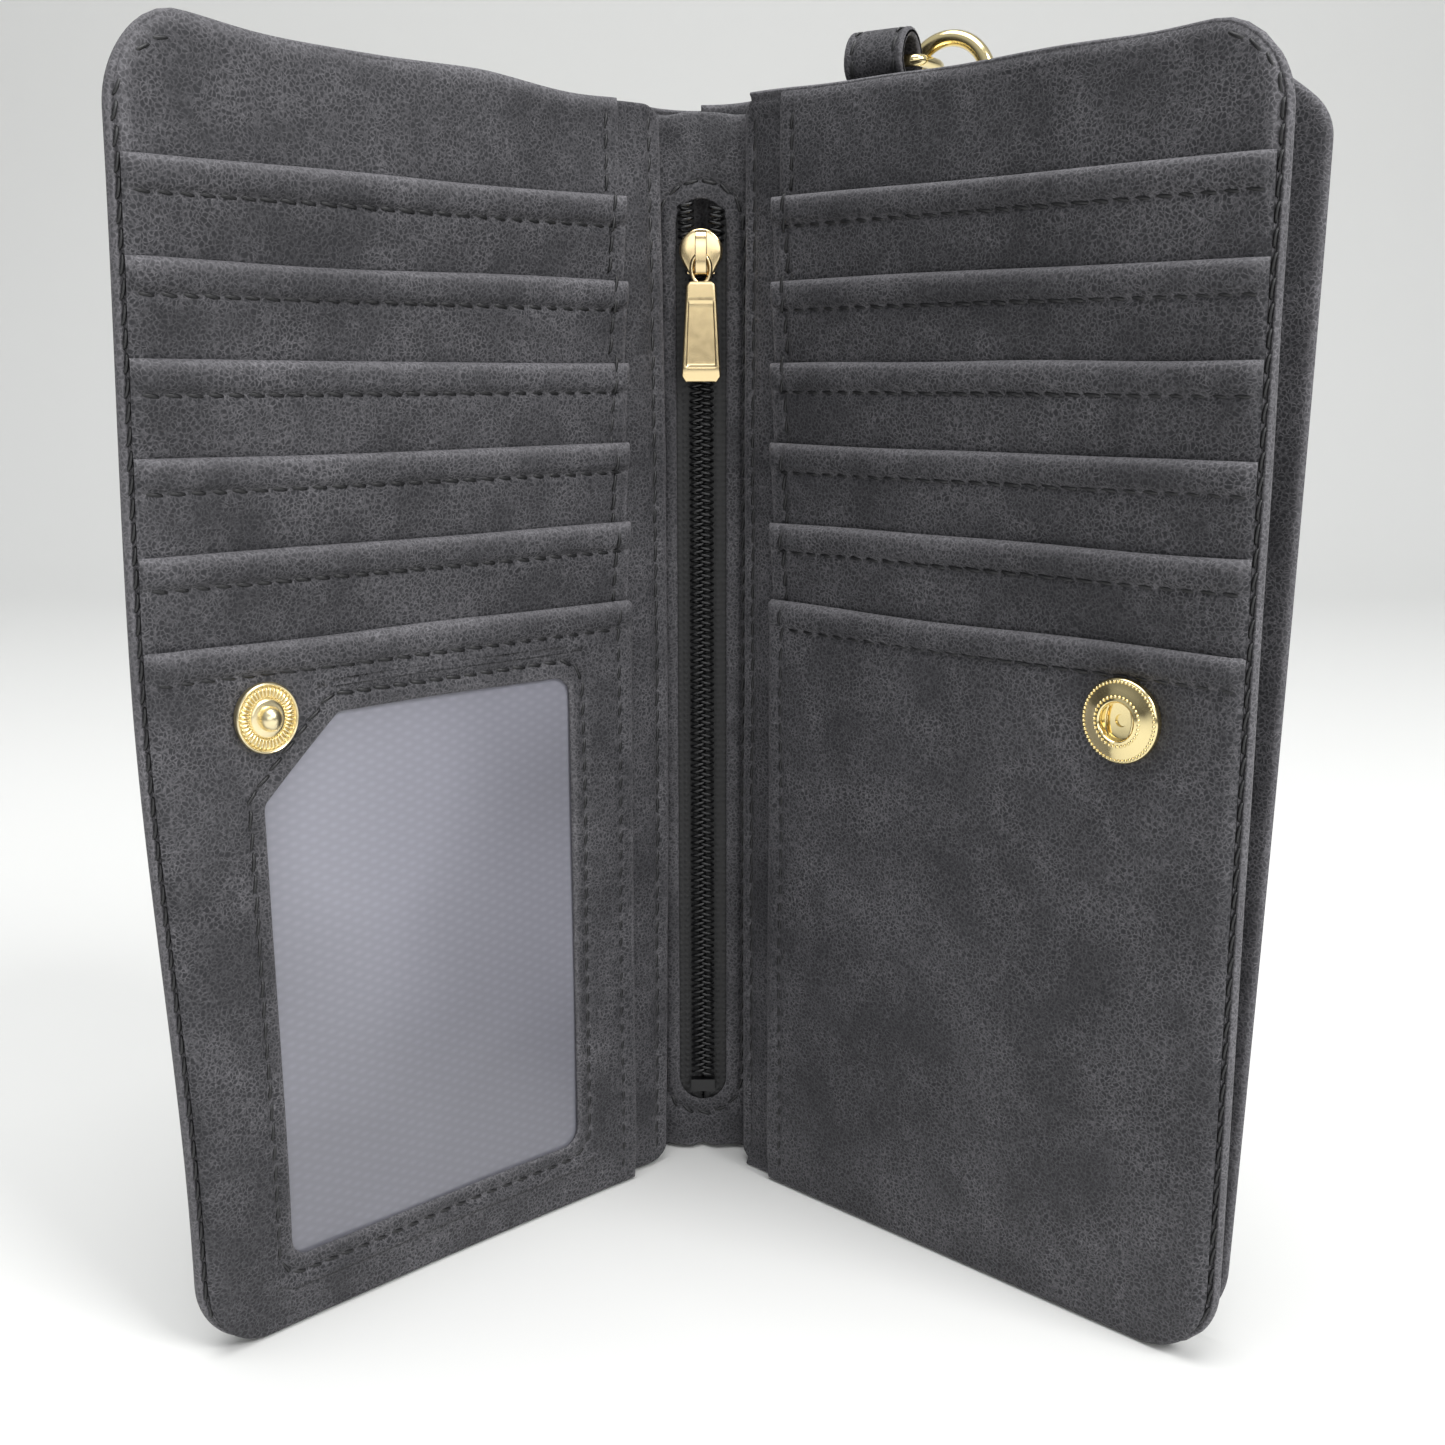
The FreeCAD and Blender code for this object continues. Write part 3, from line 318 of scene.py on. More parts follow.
def woven_polyester(name, base, thread_mm, ripple):
    """Plain weave; the threads are drawn a little coarse so that they show."""
    material, shader = new_material(name, base, 0.62, ior=1.55, Sheen_Weight=0.15)
    where = add(material, "ShaderNodeTexCoord").outputs["Object"]
    waves = []
    for direction in ("X", "Z"):
        waves.append(add(material, "ShaderNodeTexWave", {"Vector": where}, bands_direction=direction,
                         Scale=per_metre(thread_mm) / 6.28, Distortion=0.4))
    cloth = add(material, "ShaderNodeMath", {0: waves[0].outputs["Fac"], 1: waves[1].outputs["Fac"]},
                operation="MULTIPLY")
    bump = add(material, "ShaderNodeBump", {"Height": cloth.outputs[0]}, Strength=ripple,
               Distance=0.15 * MM)
    material.node_tree.links.new(bump.outputs["Normal"], shader.inputs["Normal"])
    return material


def frosted_film():
    """PVC film over a dark pocket: milky blue grey, with a fine slanting mesh pressed into it."""
    material, shader = new_material("frosted_pvc_film", "#777a8c", 0.30, ior=1.53,
                                    Coat_Weight=0.35, Coat_Roughness=0.22)
    links = material.node_tree.links
    where = add(material, "ShaderNodeTexCoord").outputs["Object"]
    tint = add(material, "ShaderNodeTexNoise", {"Vector": where}, Scale=per_metre(60.0), Detail=1.5)
    ramp = add(material, "ShaderNodeValToRGB", {"Fac": tint.outputs["Fac"]})
    ramp.color_ramp.elements[0].position = 0.38
    ramp.color_ramp.elements[0].color = colour("#73737b")
    ramp.color_ramp.elements[1].position = 0.64
    ramp.color_ramp.elements[1].color = colour("#8a8a94")
    heights = []
    for tilt in (35.0, -35.0):
        turned = add(material, "ShaderNodeMapping", {"Vector": where})
        turned.inputs["Rotation"].default_value = (0, math.radians(tilt), 0)
        heights.append(add(material, "ShaderNodeTexWave", {"Vector": turned.outputs["Vector"]},
                           bands_direction="Z", Scale=per_metre(0.75) / 6.28))
    mesh = add(material, "ShaderNodeMath", {0: heights[0].outputs["Fac"], 1: heights[1].outputs["Fac"]},
               operation="MULTIPLY")
    shade = add(material, "ShaderNodeMapRange", {"Value": mesh.outputs[0]})
    for socket, setting in (("From Min", 0.0), ("From Max", 1.0), ("To Min", 0.93), ("To Max", 1.05)):
        shade.inputs[socket].default_value = setting
    tinted = add(material, "ShaderNodeMix", data_type="RGBA", blend_type="MULTIPLY")
    tinted.inputs[0].default_value = 1.0
    links.new(ramp.outputs["Color"], tinted.inputs[6])
    links.new(shade.outputs["Result"], tinted.inputs[7])
    links.new(tinted.outputs[2], shader.inputs["Base Color"])
    bump = add(material, "ShaderNodeBump", {"Height": mesh.outputs[0]}, Strength=0.12,
               Distance=0.04 * MM)
    links.new(bump.outputs["Normal"], shader.inputs["Normal"])
    return material


def gold_plate(name, base, roughness):
    """Zinc with a thin pale gold plate: polished, with faint scratches that spread the glints."""
    material, shader = new_material(name, base, roughness, metallic=1.0)
    where = add(material, "ShaderNodeTexCoord").outputs["Object"]
    dull = add(material, "ShaderNodeTexNoise", {"Vector": where}, Scale=per_metre(1.1), Detail=4.0)
    spread = add(material, "ShaderNodeMapRange", {"Value": dull.outputs["Fac"]})
    for socket, setting in (("From Min", 0.3), ("From Max", 0.7), ("To Min", roughness * 0.92),
                            ("To Max", roughness * 1.12)):
        spread.inputs[socket].default_value = setting
    material.node_tree.links.new(spread.outputs["Result"], shader.inputs["Roughness"])
    bump = add(material, "ShaderNodeBump", {"Height": dull.outputs["Fac"]}, Strength=0.03,
               Distance=0.02 * MM)
    material.node_tree.links.new(bump.outputs["Normal"], shader.inputs["Normal"])
    return material


def black_nylon():
    material, shader = new_material("black_nylon_coil", "#0d0d0f", 0.32, ior=1.53)
    where = add(material, "ShaderNodeTexCoord").outputs["Object"]
    haze = add(material, "ShaderNodeTexNoise", {"Vector": where}, Scale=per_metre(0.8), Detail=3.0)
    bump = add(material, "ShaderNodeBump", {"Height": haze.outputs["Fac"]}, Strength=0.2,
               Distance=0.04 * MM)
    material.node_tree.links.new(bump.outputs["Normal"], shader.inputs["Normal"])
    return material


THREAD = bonded_thread()
LINING = woven_polyester("woven_polyester_lining", "#1b1b1e", 0.5, 0.5)
TAPE = woven_polyester("zip_tape_twill", "#121214", 0.6, 0.8)
FILM = frosted_film()
GOLD = gold_plate("pale_gold_plate", "#ead3a4", 0.2)
SATIN_GOLD = gold_plate("satin_gold_plate", "#efe0b6", 0.3)
BRIGHT_GOLD = gold_plate("yellow_gold_plate", "#eddba6", 0.16)
NYLON = black_nylon()
print("materials", len(bpy.data.materials))

# %% [markdown]
# ## A seam
# A row of stitches is a line on a leaf's flat drawing. The leather dips along it, most where the needle
# went through, and the thread lies in that dip. So one object knows the line: it tells a sheet how deep to
# dip, and later it walks along itself and lays the stitches. A bump map alone would leave the hem's
# outline flat, and the mesh itself would lose the seam.


# %% Seams that dip the leather
PITCH = 3.3
SEAM_DIP = 0.55
SEAM_HALF = 0.6


class Seam:
    """A line of stitches through (u, z) points, in millimetres."""

    def __init__(self, points, closed=False, pitch=PITCH):
        self.points = [np.array(p, float) for p in points]
        if closed:
            self.points.append(self.points[0])
        self.pitch = pitch

    def measure(self, u, z):
        """Distance to the line, and how far along it the nearest point is."""
        nearest = np.full(u.shape, 1e6)
        along = np.zeros(u.shape)
        run = 0.0
        for a, b in zip(self.points, self.points[1:]):
            step = b - a
            length = np.hypot(*step)
            share = ((u - a[0]) * step[0] + (z - a[1]) * step[1]) / length ** 2
            share = np.clip(share, 0, 1)
            gap = np.hypot(u - a[0] - share * step[0], z - a[1] - share * step[1])
            along = np.where(gap < nearest, run + share * length, along)
            nearest = np.minimum(gap, nearest)
            run += length
        return nearest, along

    def dip(self, u, z):
        gap, along = self.measure(u, z)
        bridge = 0.5 - 0.5 * np.cos(2 * np.pi * along / self.pitch)
        return SEAM_DIP * np.exp(-((gap / SEAM_HALF) ** 2)) * (0.62 + 0.38 * bridge)

    def rub_and_highlight(self, u, z):
        """The leather that bulges up between two stitches is rubbed pale and gets a painted highlight
        there.
        """
        gap, along = self.measure(u, z)
        between = 0.5 + 0.5 * np.cos(2 * np.pi * along / self.pitch)
        return 0.4 * np.exp(-((gap / 0.5) ** 2)) * between ** 4

    def walk(self):
        """The middle and the direction of each stitch."""
        lengths = [np.hypot(*(b - a)) for a, b in zip(self.points, self.points[1:])]
        total = sum(lengths)
        count = max(1, int(total / self.pitch))
        for number in range(count):
            target = (number + 0.5) * total / count
            for a, b, length in zip(self.points, self.points[1:], lengths):
                if target <= length:
                    yield a + (b - a) * target / length, (b - a) / length
                    break
                target -= length


def soft_waves(u, z, seed, size_mm, height):
    """Slow uneven waves: what keeps a real sheet from being flat."""
    draw = random.Random(seed)
    total = np.zeros(np.shape(u))
    for _ in range(5):
        turn = draw.uniform(0, math.pi)
        wave = size_mm * draw.uniform(0.7, 1.6)
        phase = draw.uniform(0, 2 * math.pi)
        total += np.sin(2 * np.pi * (u * math.cos(turn) + z * math.sin(turn)) / wave + phase)
    return total * height / 3


print("a seam dips the leather", SEAM_DIP, "mm, one stitch each", PITCH, "mm")

# %% [markdown]
# ## Building a sheet
# A sheet is a grid of points with a front and a back that meet at a rolled edge. The grid lines crowd
# together at the edges and along the seams, where the shape changes fast, and stay wide apart elsewhere.
# Rounded corners bend the grid instead of cutting it, so every face stays a neat four-sided one.


# %% Grids, edges and the sheet itself
ROLL_SHARES = (0, 0.04, 0.15, 0.35, 0.62, 1.0)


def stations(low, high, step, dense=(), roll=1.0):
    """Grid lines from low to high, crowded at both rolled ends and at each dense line."""
    marks = [low + share * roll for share in ROLL_SHARES]
    marks += [high - share * roll for share in ROLL_SHARES]
    for line in dense:
        marks += [line + shift for shift in (-1.3, -0.75, -0.35, 0, 0.35, 0.75, 1.3)]
    count = max(1, round((high - low) / step))
    marks += [low + (high - low) * k / count for k in range(count + 1)]
    kept = [low]
    for mark in sorted(marks):
        if mark - kept[-1] > 0.035 and mark <= high:
            kept.append(mark)
    kept[-1] = high
    return np.array(kept)


def rolled(distance, width):
    """0 at the edge to 1 at its width, along a quarter circle."""
    share = np.clip(distance / width, 0, 1)
    return np.sqrt(1 - (1 - share) ** 2)


def smooth(share):
    share = np.clip(share, 0, 1)
    return share * share * (3 - 2 * share)


def mesh_object(name, points, faces, material, wear_and_painted_highlight=None, merge=0.00001):
    """A mesh from points in metres, its doubled edge points joined and its faces turned outwards."""
    mesh = bpy.data.meshes.new(name)
    mesh.from_pydata([tuple(p) for p in points], [], faces)
    if wear_and_painted_highlight is not None:
        attribute = mesh.attributes.new("wear_and_painted_highlight", "FLOAT", "POINT")
        attribute.data.foreach_set("value", np.asarray(wear_and_painted_highlight, np.float32))
    work = bmesh.new()
    work.from_mesh(mesh)
    bmesh.ops.remove_doubles(work, verts=work.verts, dist=merge)
    bmesh.ops.dissolve_degenerate(work, edges=work.edges, dist=merge / 4)
    bmesh.ops.recalc_face_normals(work, faces=work.faces)
    work.to_mesh(mesh)
    work.free()
    mesh.materials.append(material)
    mesh.shade_smooth()
    piece = bpy.data.objects.new(name, mesh)
    bpy.context.scene.collection.objects.link(piece)
    return piece


def corner_depth(u, z, low, high, outer, corner):
    """Distance in from the nearest of the outer, bottom and top edges, with rounded outer corners."""
    over_u = u - (outer - corner)
    over_z = np.abs(z - (low + high) / 2) - ((high - low) / 2 - corner)
    straight = np.minimum(outer - u, (high - low) / 2 - np.abs(z - (low + high) / 2))
    rounded = corner - np.hypot(np.maximum(over_u, 0), np.maximum(over_z, 0))
    return np.where((over_u > 0) & (over_z > 0), rounded, straight)


def bend_corners(u, z, low, high, outer, corners):
    """Moves the grid's rows so that they follow the rounded corners (low radius, high radius)."""
    for radius, edge, way in ((corners[0], low, 1), (corners[1], high, -1)):
        if radius:
            over = np.clip(u - (outer - radius), 0, radius)
            lift = radius - np.sqrt(np.maximum(radius ** 2 - over ** 2, 0))
            fade = np.clip(1 - np.abs(z - edge) / (2.5 * radius), 0, 1) ** 2
            z = z + way * lift * fade
    return z


def grid_faces(columns, rows, start=0):
    """Quads over a grid of points stored column by column."""
    faces = []
    for i in range(columns - 1):
        for j in range(rows - 1):
            a = start + i * rows + j
            faces.append((a, a + 1, a + rows + 1, a + rows))
    return faces


def two_sided(name, place, u, z, front, back, material, wear_and_painted_highlight):
    """Front and back skins over one grid; where they meet at the edge they are joined."""
    columns, rows = u.shape
    points = []
    for depth in (front, back):
        for i in range(columns):
            for j in range(rows):
                points.append(place(u[i, j], depth[i, j], z[i, j]))
    faces = grid_faces(columns, rows) + grid_faces(columns, rows, columns * rows)
    return mesh_object(name, points, faces, material, np.concatenate([wear_and_painted_highlight.ravel(), wear_and_painted_highlight.ravel()]))


# Lighter towards a rolled edge: partly rubbed wear, partly a painted highlight where the lip catches the
# light.
def edge_wear_and_highlight(depth, width=1.1, strength=0.55):
    return strength * np.exp(-((depth / width) ** 2))


# Rubbed wear with a painted highlight between the stitches of each seam.
def seam_wear_and_highlight(u, z, *seams):
    return sum(seam.rub_and_highlight(u, z) for seam in seams)


print("sheet builder ready")

# %% [markdown]
# ## Card pockets
# On the bench a card pocket is a strip of leather whose upper edge is turned over and sewn down 5 mm
# below the fold. That turned hem is thicker than the rest, so it stands out and catches the light. The
# strip's foot is sewn flat behind the next pocket. We draw exactly that section, and let it flatten
# towards the outer edge, where one seam presses all the layers together.

# %% The seams that every leaf has
HEM = 4.9
FOLD_SEAM = 3.0
SPINE_SEAM_U = GUTTER + FOLD_SEAM
OUTER_SEAM = Seam([(PANEL_OUTER + 0.15, CORNER), (PANEL_OUTER + 0.15, TALL - CORNER)])
SPINE_SEAM = Seam([(SPINE_SEAM_U, 3.0), (SPINE_SEAM_U, TALL - 3.0)])
LIP_FRONT = -7.9
FOOT_FRONT = -5.95
SEAMED_FRONT = -6.3
FLATTEN = 2.2
ROLL = 0.95
STITCHES = {"left_leaf": [], "right_leaf": [], "right_cover": [], "cover_seam": [], "spine": [],
            "left_inner_seam": [], "right_inner_seam": []}
INNER_CORNER = 3.6
INNER_LEAN = {"left_leaf": (0.0, 1.4), "right_leaf": (1.0, 0.2)}


def seam_press(u):
    """How much a layer keeps of its own height near the outer seam, which presses it flat."""
    return smooth((PANEL_OUTER - u) / FLATTEN)


def lay_stitches(leaf, seam, height, lift=0.05):
    """Remembers where each stitch of a seam lies on a surface of the given height."""
    for (u, z), (du, dz) in seam.walk():
        y = float(height(np.array([[u]]), np.array([[z]]))[0, 0]) - lift
        ahead = leaf.place(u + du, y, z + dz) - leaf.place(u, y, z)
        STITCHES[leaf.body].append((leaf.place(u, y, z), ahead.normalized(), leaf.out()))


def pocket_height(top, foot, seams, seed):
    """The front of a pocket strip: hem, slope down to its foot, seams and a little unevenness."""

    def height(u, z):
        below = top - z
        slope = LIP_FRONT + 0.55 + (FOOT_FRONT - LIP_FRONT - 0.55) * smooth(below / (top - foot))
        hem = 0.5 * (1 - smooth((below - HEM + 1.2) / 1.6)) * smooth(below / 0.9 + 0.4)
        crown = 0.22 * np.exp(-(((below - HEM * 0.5) / 1.8) ** 2))
        y = slope - hem - crown + soft_waves(u, z, seed, 24.0, 0.12)
        y = SEAMED_FRONT + (y - SEAMED_FRONT) * (0.4 + 0.6 * seam_press(u))
        for seam in seams:
            y = y + seam.dip(u, z)
        return y

    return height


def left_rise(u):
    return -0.6 + 1.3 * smooth((u - 14.0) / 24.0) + 2.3 * np.exp(-(((u - 92.0) / 15.0) ** 2))


def right_rise(u):
    return 0.8 - 0.6 * np.exp(-(((u - 42.0) / 12.0) ** 2)) + 0.6 * np.exp(-(((u - 90.0) / 8.0) ** 2))


def cover_rise(u):
    return 0.4 - 4.5 * smooth((u - 84.0) / 14.0)


RISES = {"left_leaf": left_rise, "right_leaf": right_rise, "right_cover": cover_rise}


TOP_REACH = 22.0


def top_edge(leaf, u, z):
    """Bends the top of a sheet: the leather stands proud at the corners and sags between them."""
    u = np.asarray(u, float)
    wave = soft_waves(u, u * 0, 77, 31.0, 0.25)
    share = np.clip((z - (TALL - TOP_REACH)) / TOP_REACH, 0, 1) ** 1.4
    return z + (RISES[leaf.body](u) + wave) * share


def lip_wave(u, seed):
    """A pocket's mouth isn't quite straight: it rides up and down by a few tenths."""
    return soft_waves(u, np.zeros(np.shape(u)), seed + 50, 46.0, 0.22)


# %% One pocket strip
def pocket_strip(name, leaf, number, seed):
    top = POCKET_TOPS[number]
    foot = top - 18.0
    hem_seam = Seam([(GUTTER + 0.8, top - HEM), (PANEL_OUTER - 1.0, top - HEM)])
    height = pocket_height(top, foot, [hem_seam, SPINE_SEAM, OUTER_SEAM], seed)
    u_lines = stations(GUTTER, PANEL_OUTER, 1.6, (SPINE_SEAM_U, PANEL_OUTER - 0.3), ROLL)
    z_lines = stations(foot, top, 1.1, (top - HEM,), ROLL)
    u, z = np.meshgrid(u_lines, z_lines, indexing="ij")
    edge = np.minimum(u - GUTTER, top - z)
    roll = rolled(np.minimum(edge, PANEL_OUTER - u + 0.05), ROLL)
    back = np.full(u.shape, CARD_FRONT - 0.05)
    middle = CARD_FRONT - 0.5 + (LIP_FRONT + 1.0 - CARD_FRONT + 0.5) * smooth((z - foot) / (top - foot))
    middle = SEAMED_FRONT + 0.2 + (middle - SEAMED_FRONT - 0.2) * seam_press(u)
    front = middle + (height(u, z) - middle) * roll
    back = middle + (np.maximum(back, middle + 0.3) * 0 + 0.35) * roll
    z = z + lip_wave(u, seed) * smooth((z - foot) / (top - foot))
    # Painted highlight with rubbed wear: lighter at the hem lip, the gutter edge and between stitches.
    piece = two_sided(name, leaf.place, u, z, front, back, LEATHER,
                      edge_wear_and_highlight(top - z, 1.3, 0.6) + edge_wear_and_highlight(u - GUTTER, 0.8, 0.4)
                      + seam_wear_and_highlight(u, z, hem_seam, SPINE_SEAM))
    lay_stitches(leaf, hem_seam, height)
    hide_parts(f"{name[:-6]}")
    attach(piece, leaf.body)
    return piece


for leaf, word in ((LEFT, "left"), (RIGHT, "right")):
    for number in range(5):
        pocket_strip(f"{word}_card_pocket_{number + 1}_strip", leaf, number, 10 * number + leaf.side)
print("ten card pockets, seams so far:", sum(len(s) for s in STITCHES.values()), "stitches")

# %% [markdown]
# ## Panels behind the pockets
# Two sheets lie behind the pockets. The card panel shows above the first pocket and is turned over the
# top and bottom edges like a small bolster. The inner panel is wider and shows as a strip beside the
# gutter, with a seam close to its folded edge that also holds the zip's leather.


# %% Card panel and inner panel
TOP_ROLL = 2.6
INNER_REACH = -0.8
INNER_SEAM_U = INNER_REACH + 2.6


def card_panel_height(u, z):
    y = CARD_FRONT - 0.25 + soft_waves(u, z, 71, 40.0, 0.2)
    y = y - 0.9 * (1 - smooth((PANEL_OUTER - u) / 5.0))
    for seam in (SPINE_SEAM, OUTER_SEAM):
        y = y + seam.dip(u, z)
    return y


def card_panel(word, leaf):
    low, high, corner = 0.2, TALL - 0.2, CORNER - RIM
    u_lines = stations(GUTTER, PANEL_OUTER, 2.0, (SPINE_SEAM_U, PANEL_OUTER - 0.3), 1.0)
    z_lines = stations(low, high, 2.2, (), TOP_ROLL)
    u, z = np.meshgrid(u_lines, z_lines, indexing="ij")
    z = bend_corners(u, z, low, high, PANEL_OUTER, (corner, corner))
    depth = corner_depth(u, z, low, high, PANEL_OUTER, corner)
    ends = rolled(np.minimum(depth, (high - low) / 2 - np.abs(z - TALL / 2)) + 0.02, TOP_ROLL)
    side = rolled(u - GUTTER, 1.0)
    middle = np.full(u.shape, -4.7)
    front = middle + (card_panel_height(u, z) - middle) * ends * side
    back = middle + 1.5 * np.minimum(ends, side)
    z = top_edge(leaf, u, z)
    # Painted highlight with rubbed wear: lighter at the rolled edges and between stitches.
    piece = two_sided(f"{word}_card_panel_sheet", leaf.place, u, z, front, back, LEATHER,
                      edge_wear_and_highlight(depth, 1.6, 0.5) + edge_wear_and_highlight(u - GUTTER, 0.8, 0.4)
                      + seam_wear_and_highlight(u, z, SPINE_SEAM))
    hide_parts(f"{word}_card_panel")
    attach(piece, leaf.body)


def inner_edge(z, leaf):
    """The inner panel's free edge leans towards the zip at mid height, as soft leather does."""
    start, lean = INNER_LEAN[leaf.body]
    return INNER_REACH + start - lean * np.sin(np.pi * np.clip(z / TALL, 0, 1)) + lip_wave(z, 7) * 0.8


def stay_at_gutter(piece, leaf):
    """On the left the free edge stays on the zip's panel: the piece is baked where it stands and doesn't
    turn with the leaf; on the right it turns with its leaf.
    """
    if leaf is LEFT:
        tuple(leaf.place(0.6, 0, 90))
        tuple(leaf.place(9.5, 0, 90))
        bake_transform(piece)
    else:
        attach(piece, leaf.body)


def inner_panel(word, leaf):
    low, high = 0.5, TALL - 0.5
    u_lines = stations(INNER_REACH, 14.0, 1.1, (INNER_SEAM_U,), 0.9)
    u_lines = np.append(u_lines, PANEL_OUTER - 2 * CORNER)
    z_lines = stations(low, high, 2.2, (), 1.2)
    u, z = np.meshgrid(u_lines, z_lines, indexing="ij")
    seam = Seam([(INNER_SEAM_U, 2.5), (INNER_SEAM_U, TALL - 2.5)])

    def height(uu, zz):
        swell = 0.35 * np.exp(-(((uu - 4.6) / 2.6) ** 2))
        return -4.6 - swell + seam.dip(uu, zz) + soft_waves(uu, zz, 33 + leaf.side, 22.0, 0.16)

    depth = np.minimum(u - INNER_REACH, (high - low) / 2 - np.abs(z - TALL / 2))
    roll = rolled(depth, 0.95)
    middle = np.full(u.shape, -3.9)
    front = middle + (height(u, z) - middle) * roll
    back = middle + 0.4 * roll
    lean = (inner_edge(z, leaf) - INNER_REACH) * np.clip(1 - (u - INNER_REACH) / 9.0, 0, 1)
    over = np.clip(INNER_REACH + INNER_CORNER - u, 0, INNER_CORNER)
    lift = INNER_CORNER - np.sqrt(INNER_CORNER ** 2 - over ** 2)
    for edge, way in ((low, 1), (high, -1)):
        z = z + way * lift * np.clip(1 - np.abs(z - edge) / 9.0, 0, 1)
    z = top_edge(leaf, u, z)
    # Painted highlight with rubbed wear: lighter at the free edge and between stitches.
    piece = two_sided(f"{word}_inner_panel_sheet", leaf.place, u + lean, z, front, back, LEATHER,
                      edge_wear_and_highlight(u - INNER_REACH, 0.9, 0.5) + seam.rub_and_highlight(u, z))
    for (su, sz), _ in seam.walk():
        shift = float(inner_edge(np.array([sz]), leaf)[0] - INNER_REACH) * (1 - (su - INNER_REACH) / 9.0)
        y = float(height(np.array([[su]]), np.array([[sz]]))[0, 0]) - 0.05
        here = leaf.place(su + shift, y, sz)
        STITCHES[f"{word}_inner_seam"].append((here, Vector((0, 0, 1)), leaf.out()))
    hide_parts(f"{word}_inner_panel")
    stay_at_gutter(piece, leaf)


for leaf, word in ((LEFT, "left"), (RIGHT, "right")):
    card_panel(word, leaf)
    inner_panel(word, leaf)
print("panels behind the pockets are", round(PANEL_OUTER - GUTTER, 1), "mm wide")

# %% [markdown]
# ## The two large pockets
# Below the card pockets each leaf ends in one large pocket. On the left its front has a window, cut
# with one slanted corner so that a card slides in without catching. A grid can't go round a hole, so
# this front is drawn on rays from the hole's middle: rings close to the window follow the window's
# outline, rings close to the rim follow the rim, and a few rings blend between them.

# %% Outlines that rays can meet
WINDOW_INNER, WINDOW_OUTER = 23.0, 82.4
WINDOW_LOW, WINDOW_HIGH = 12.0, 98.5
WINDOW_CUT = (14.2, 12.8)
WINDOW_SOFT = 3.2
WINDOW_SEAM_OUT = 2.8
SNAP_U, SNAP_Z = 81.3, 99.2


def rounded_polygon(corners, radii, steps=7):
    """A closed outline whose corners are rounded by arcs."""
    outline = []
    count = len(corners)
    for i, radius in enumerate(radii):
        here = np.array(corners[i], float)
        before = np.array(corners[i - 1], float) - here
        after = np.array(corners[(i + 1) % count], float) - here
        before, after = before / np.hypot(*before), after / np.hypot(*after)
        half = math.acos(float(np.clip(before @ after, -1, 1))) / 2
        if radius < 0.05:
            outline.append(here)
            continue
        inward = (before + after) / np.hypot(*(before + after))
        centre = here + inward * radius / math.sin(half)
        start = here + before * radius / math.tan(half) - centre
        end = here + after * radius / math.tan(half) - centre
        first, last = math.atan2(start[1], start[0]), math.atan2(end[1], end[0])
        turn = (last - first + math.pi) % (2 * math.pi) - math.pi
        for k in range(steps + 1):
            angle = first + turn * k / steps
            outline.append(centre + radius * np.array([math.cos(angle), math.sin(angle)]))
    return np.array(outline)


def window_line(out):
    """The window's outline, moved outwards."""
    slant = out * 0.45
    corners = [
        (WINDOW_INNER - out, WINDOW_LOW - out),
        (WINDOW_OUTER + 1.4 + out, WINDOW_LOW - out),
        (WINDOW_OUTER + out, WINDOW_HIGH - WINDOW_CUT[1] + slant),
        (WINDOW_OUTER - WINDOW_CUT[0] + slant, WINDOW_HIGH + out),
        (WINDOW_INNER - out, WINDOW_HIGH + out),
    ]
    soft = max(0.4, WINDOW_SOFT + out * 0.6)
    return rounded_polygon(corners, [soft, soft, soft * 0.6, soft * 0.6, soft])


def pocket_line(inset, top, foot):
    """The large pocket's outline, moved inwards; only its lowest outer corner is rounded."""
    corners = [
        (GUTTER + inset, foot + inset),
        (PANEL_OUTER - inset, foot + inset),
        (PANEL_OUTER - inset, top - inset),
        (GUTTER + inset, top - inset),
    ]
    return rounded_polygon(corners, [0, max(0.3, CORNER - RIM - inset), 0, 0])


def ray_reach(outline, centre, angles):
    """How far from the centre each ray meets a closed outline."""
    a = outline - centre
    b = np.roll(a, -1, axis=0)
    reach = np.zeros(len(angles))
    for k, angle in enumerate(angles):
        ray = np.array([math.cos(angle), math.sin(angle)])
        step = b - a
        cross = ray[0] * step[:, 1] - ray[1] * step[:, 0]
        cross = np.where(np.abs(cross) < 1e-12, 1e-12, cross)
        far = (a[:, 0] * step[:, 1] - a[:, 1] * step[:, 0]) / cross
        share = (a[:, 0] * ray[1] - a[:, 1] * ray[0]) / cross
        hit = (share >= -1e-9) & (share <= 1 + 1e-9) & (far > 0)
        reach[k] = far[hit].min()
    return reach


# %% The large pocket's front
LARGE_TOP = POCKET_TOPS[5]
LARGE_FOOT = 0.4
WINDOW_SEAM = Seam(list(window_line(WINDOW_SEAM_OUT)), closed=True)
HEM_SEAM = Seam([(GUTTER + 0.8, LARGE_TOP - HEM), (PANEL_OUTER - 1.0, LARGE_TOP - HEM)])


def large_height(seams, seed, foot_press, swell):
    """The large pocket's front: a hem at its mouth, slack leather below, pressed flat at the foot."""

    def height(u, z):
        below = LARGE_TOP - z
        hem = 0.5 * (1 - smooth((below - HEM + 1.2) / 1.6)) * smooth(below / 0.9 + 0.4)
        crown = 0.22 * np.exp(-(((below - HEM * 0.5) / 1.8) ** 2))
        y = LIP_FRONT + 0.55 - hem - crown + soft_waves(u, z, seed, 38.0, 0.28)
        y = y - swell * np.sin(np.pi * np.clip(below / LARGE_TOP, 0, 1)) * np.sin(
            np.pi * np.clip((u - GUTTER) / (PANEL_OUTER - GUTTER), 0, 1))
        press = np.minimum(seam_press(u), foot_press(z))
        y = SEAMED_FRONT + (y - SEAMED_FRONT) * (0.4 + 0.6 * press)
        around_stud = np.hypot(u - SNAP_U, z - SNAP_Z)
        y = y + 0.5 * np.exp(-((around_stud / 7.5) ** 2))
        for seam in seams:
            y = y + seam.dip(u, z)
        return y

    return height


def foot_press(z):
    return 0.35 + 0.65 * smooth(z / 9.0)


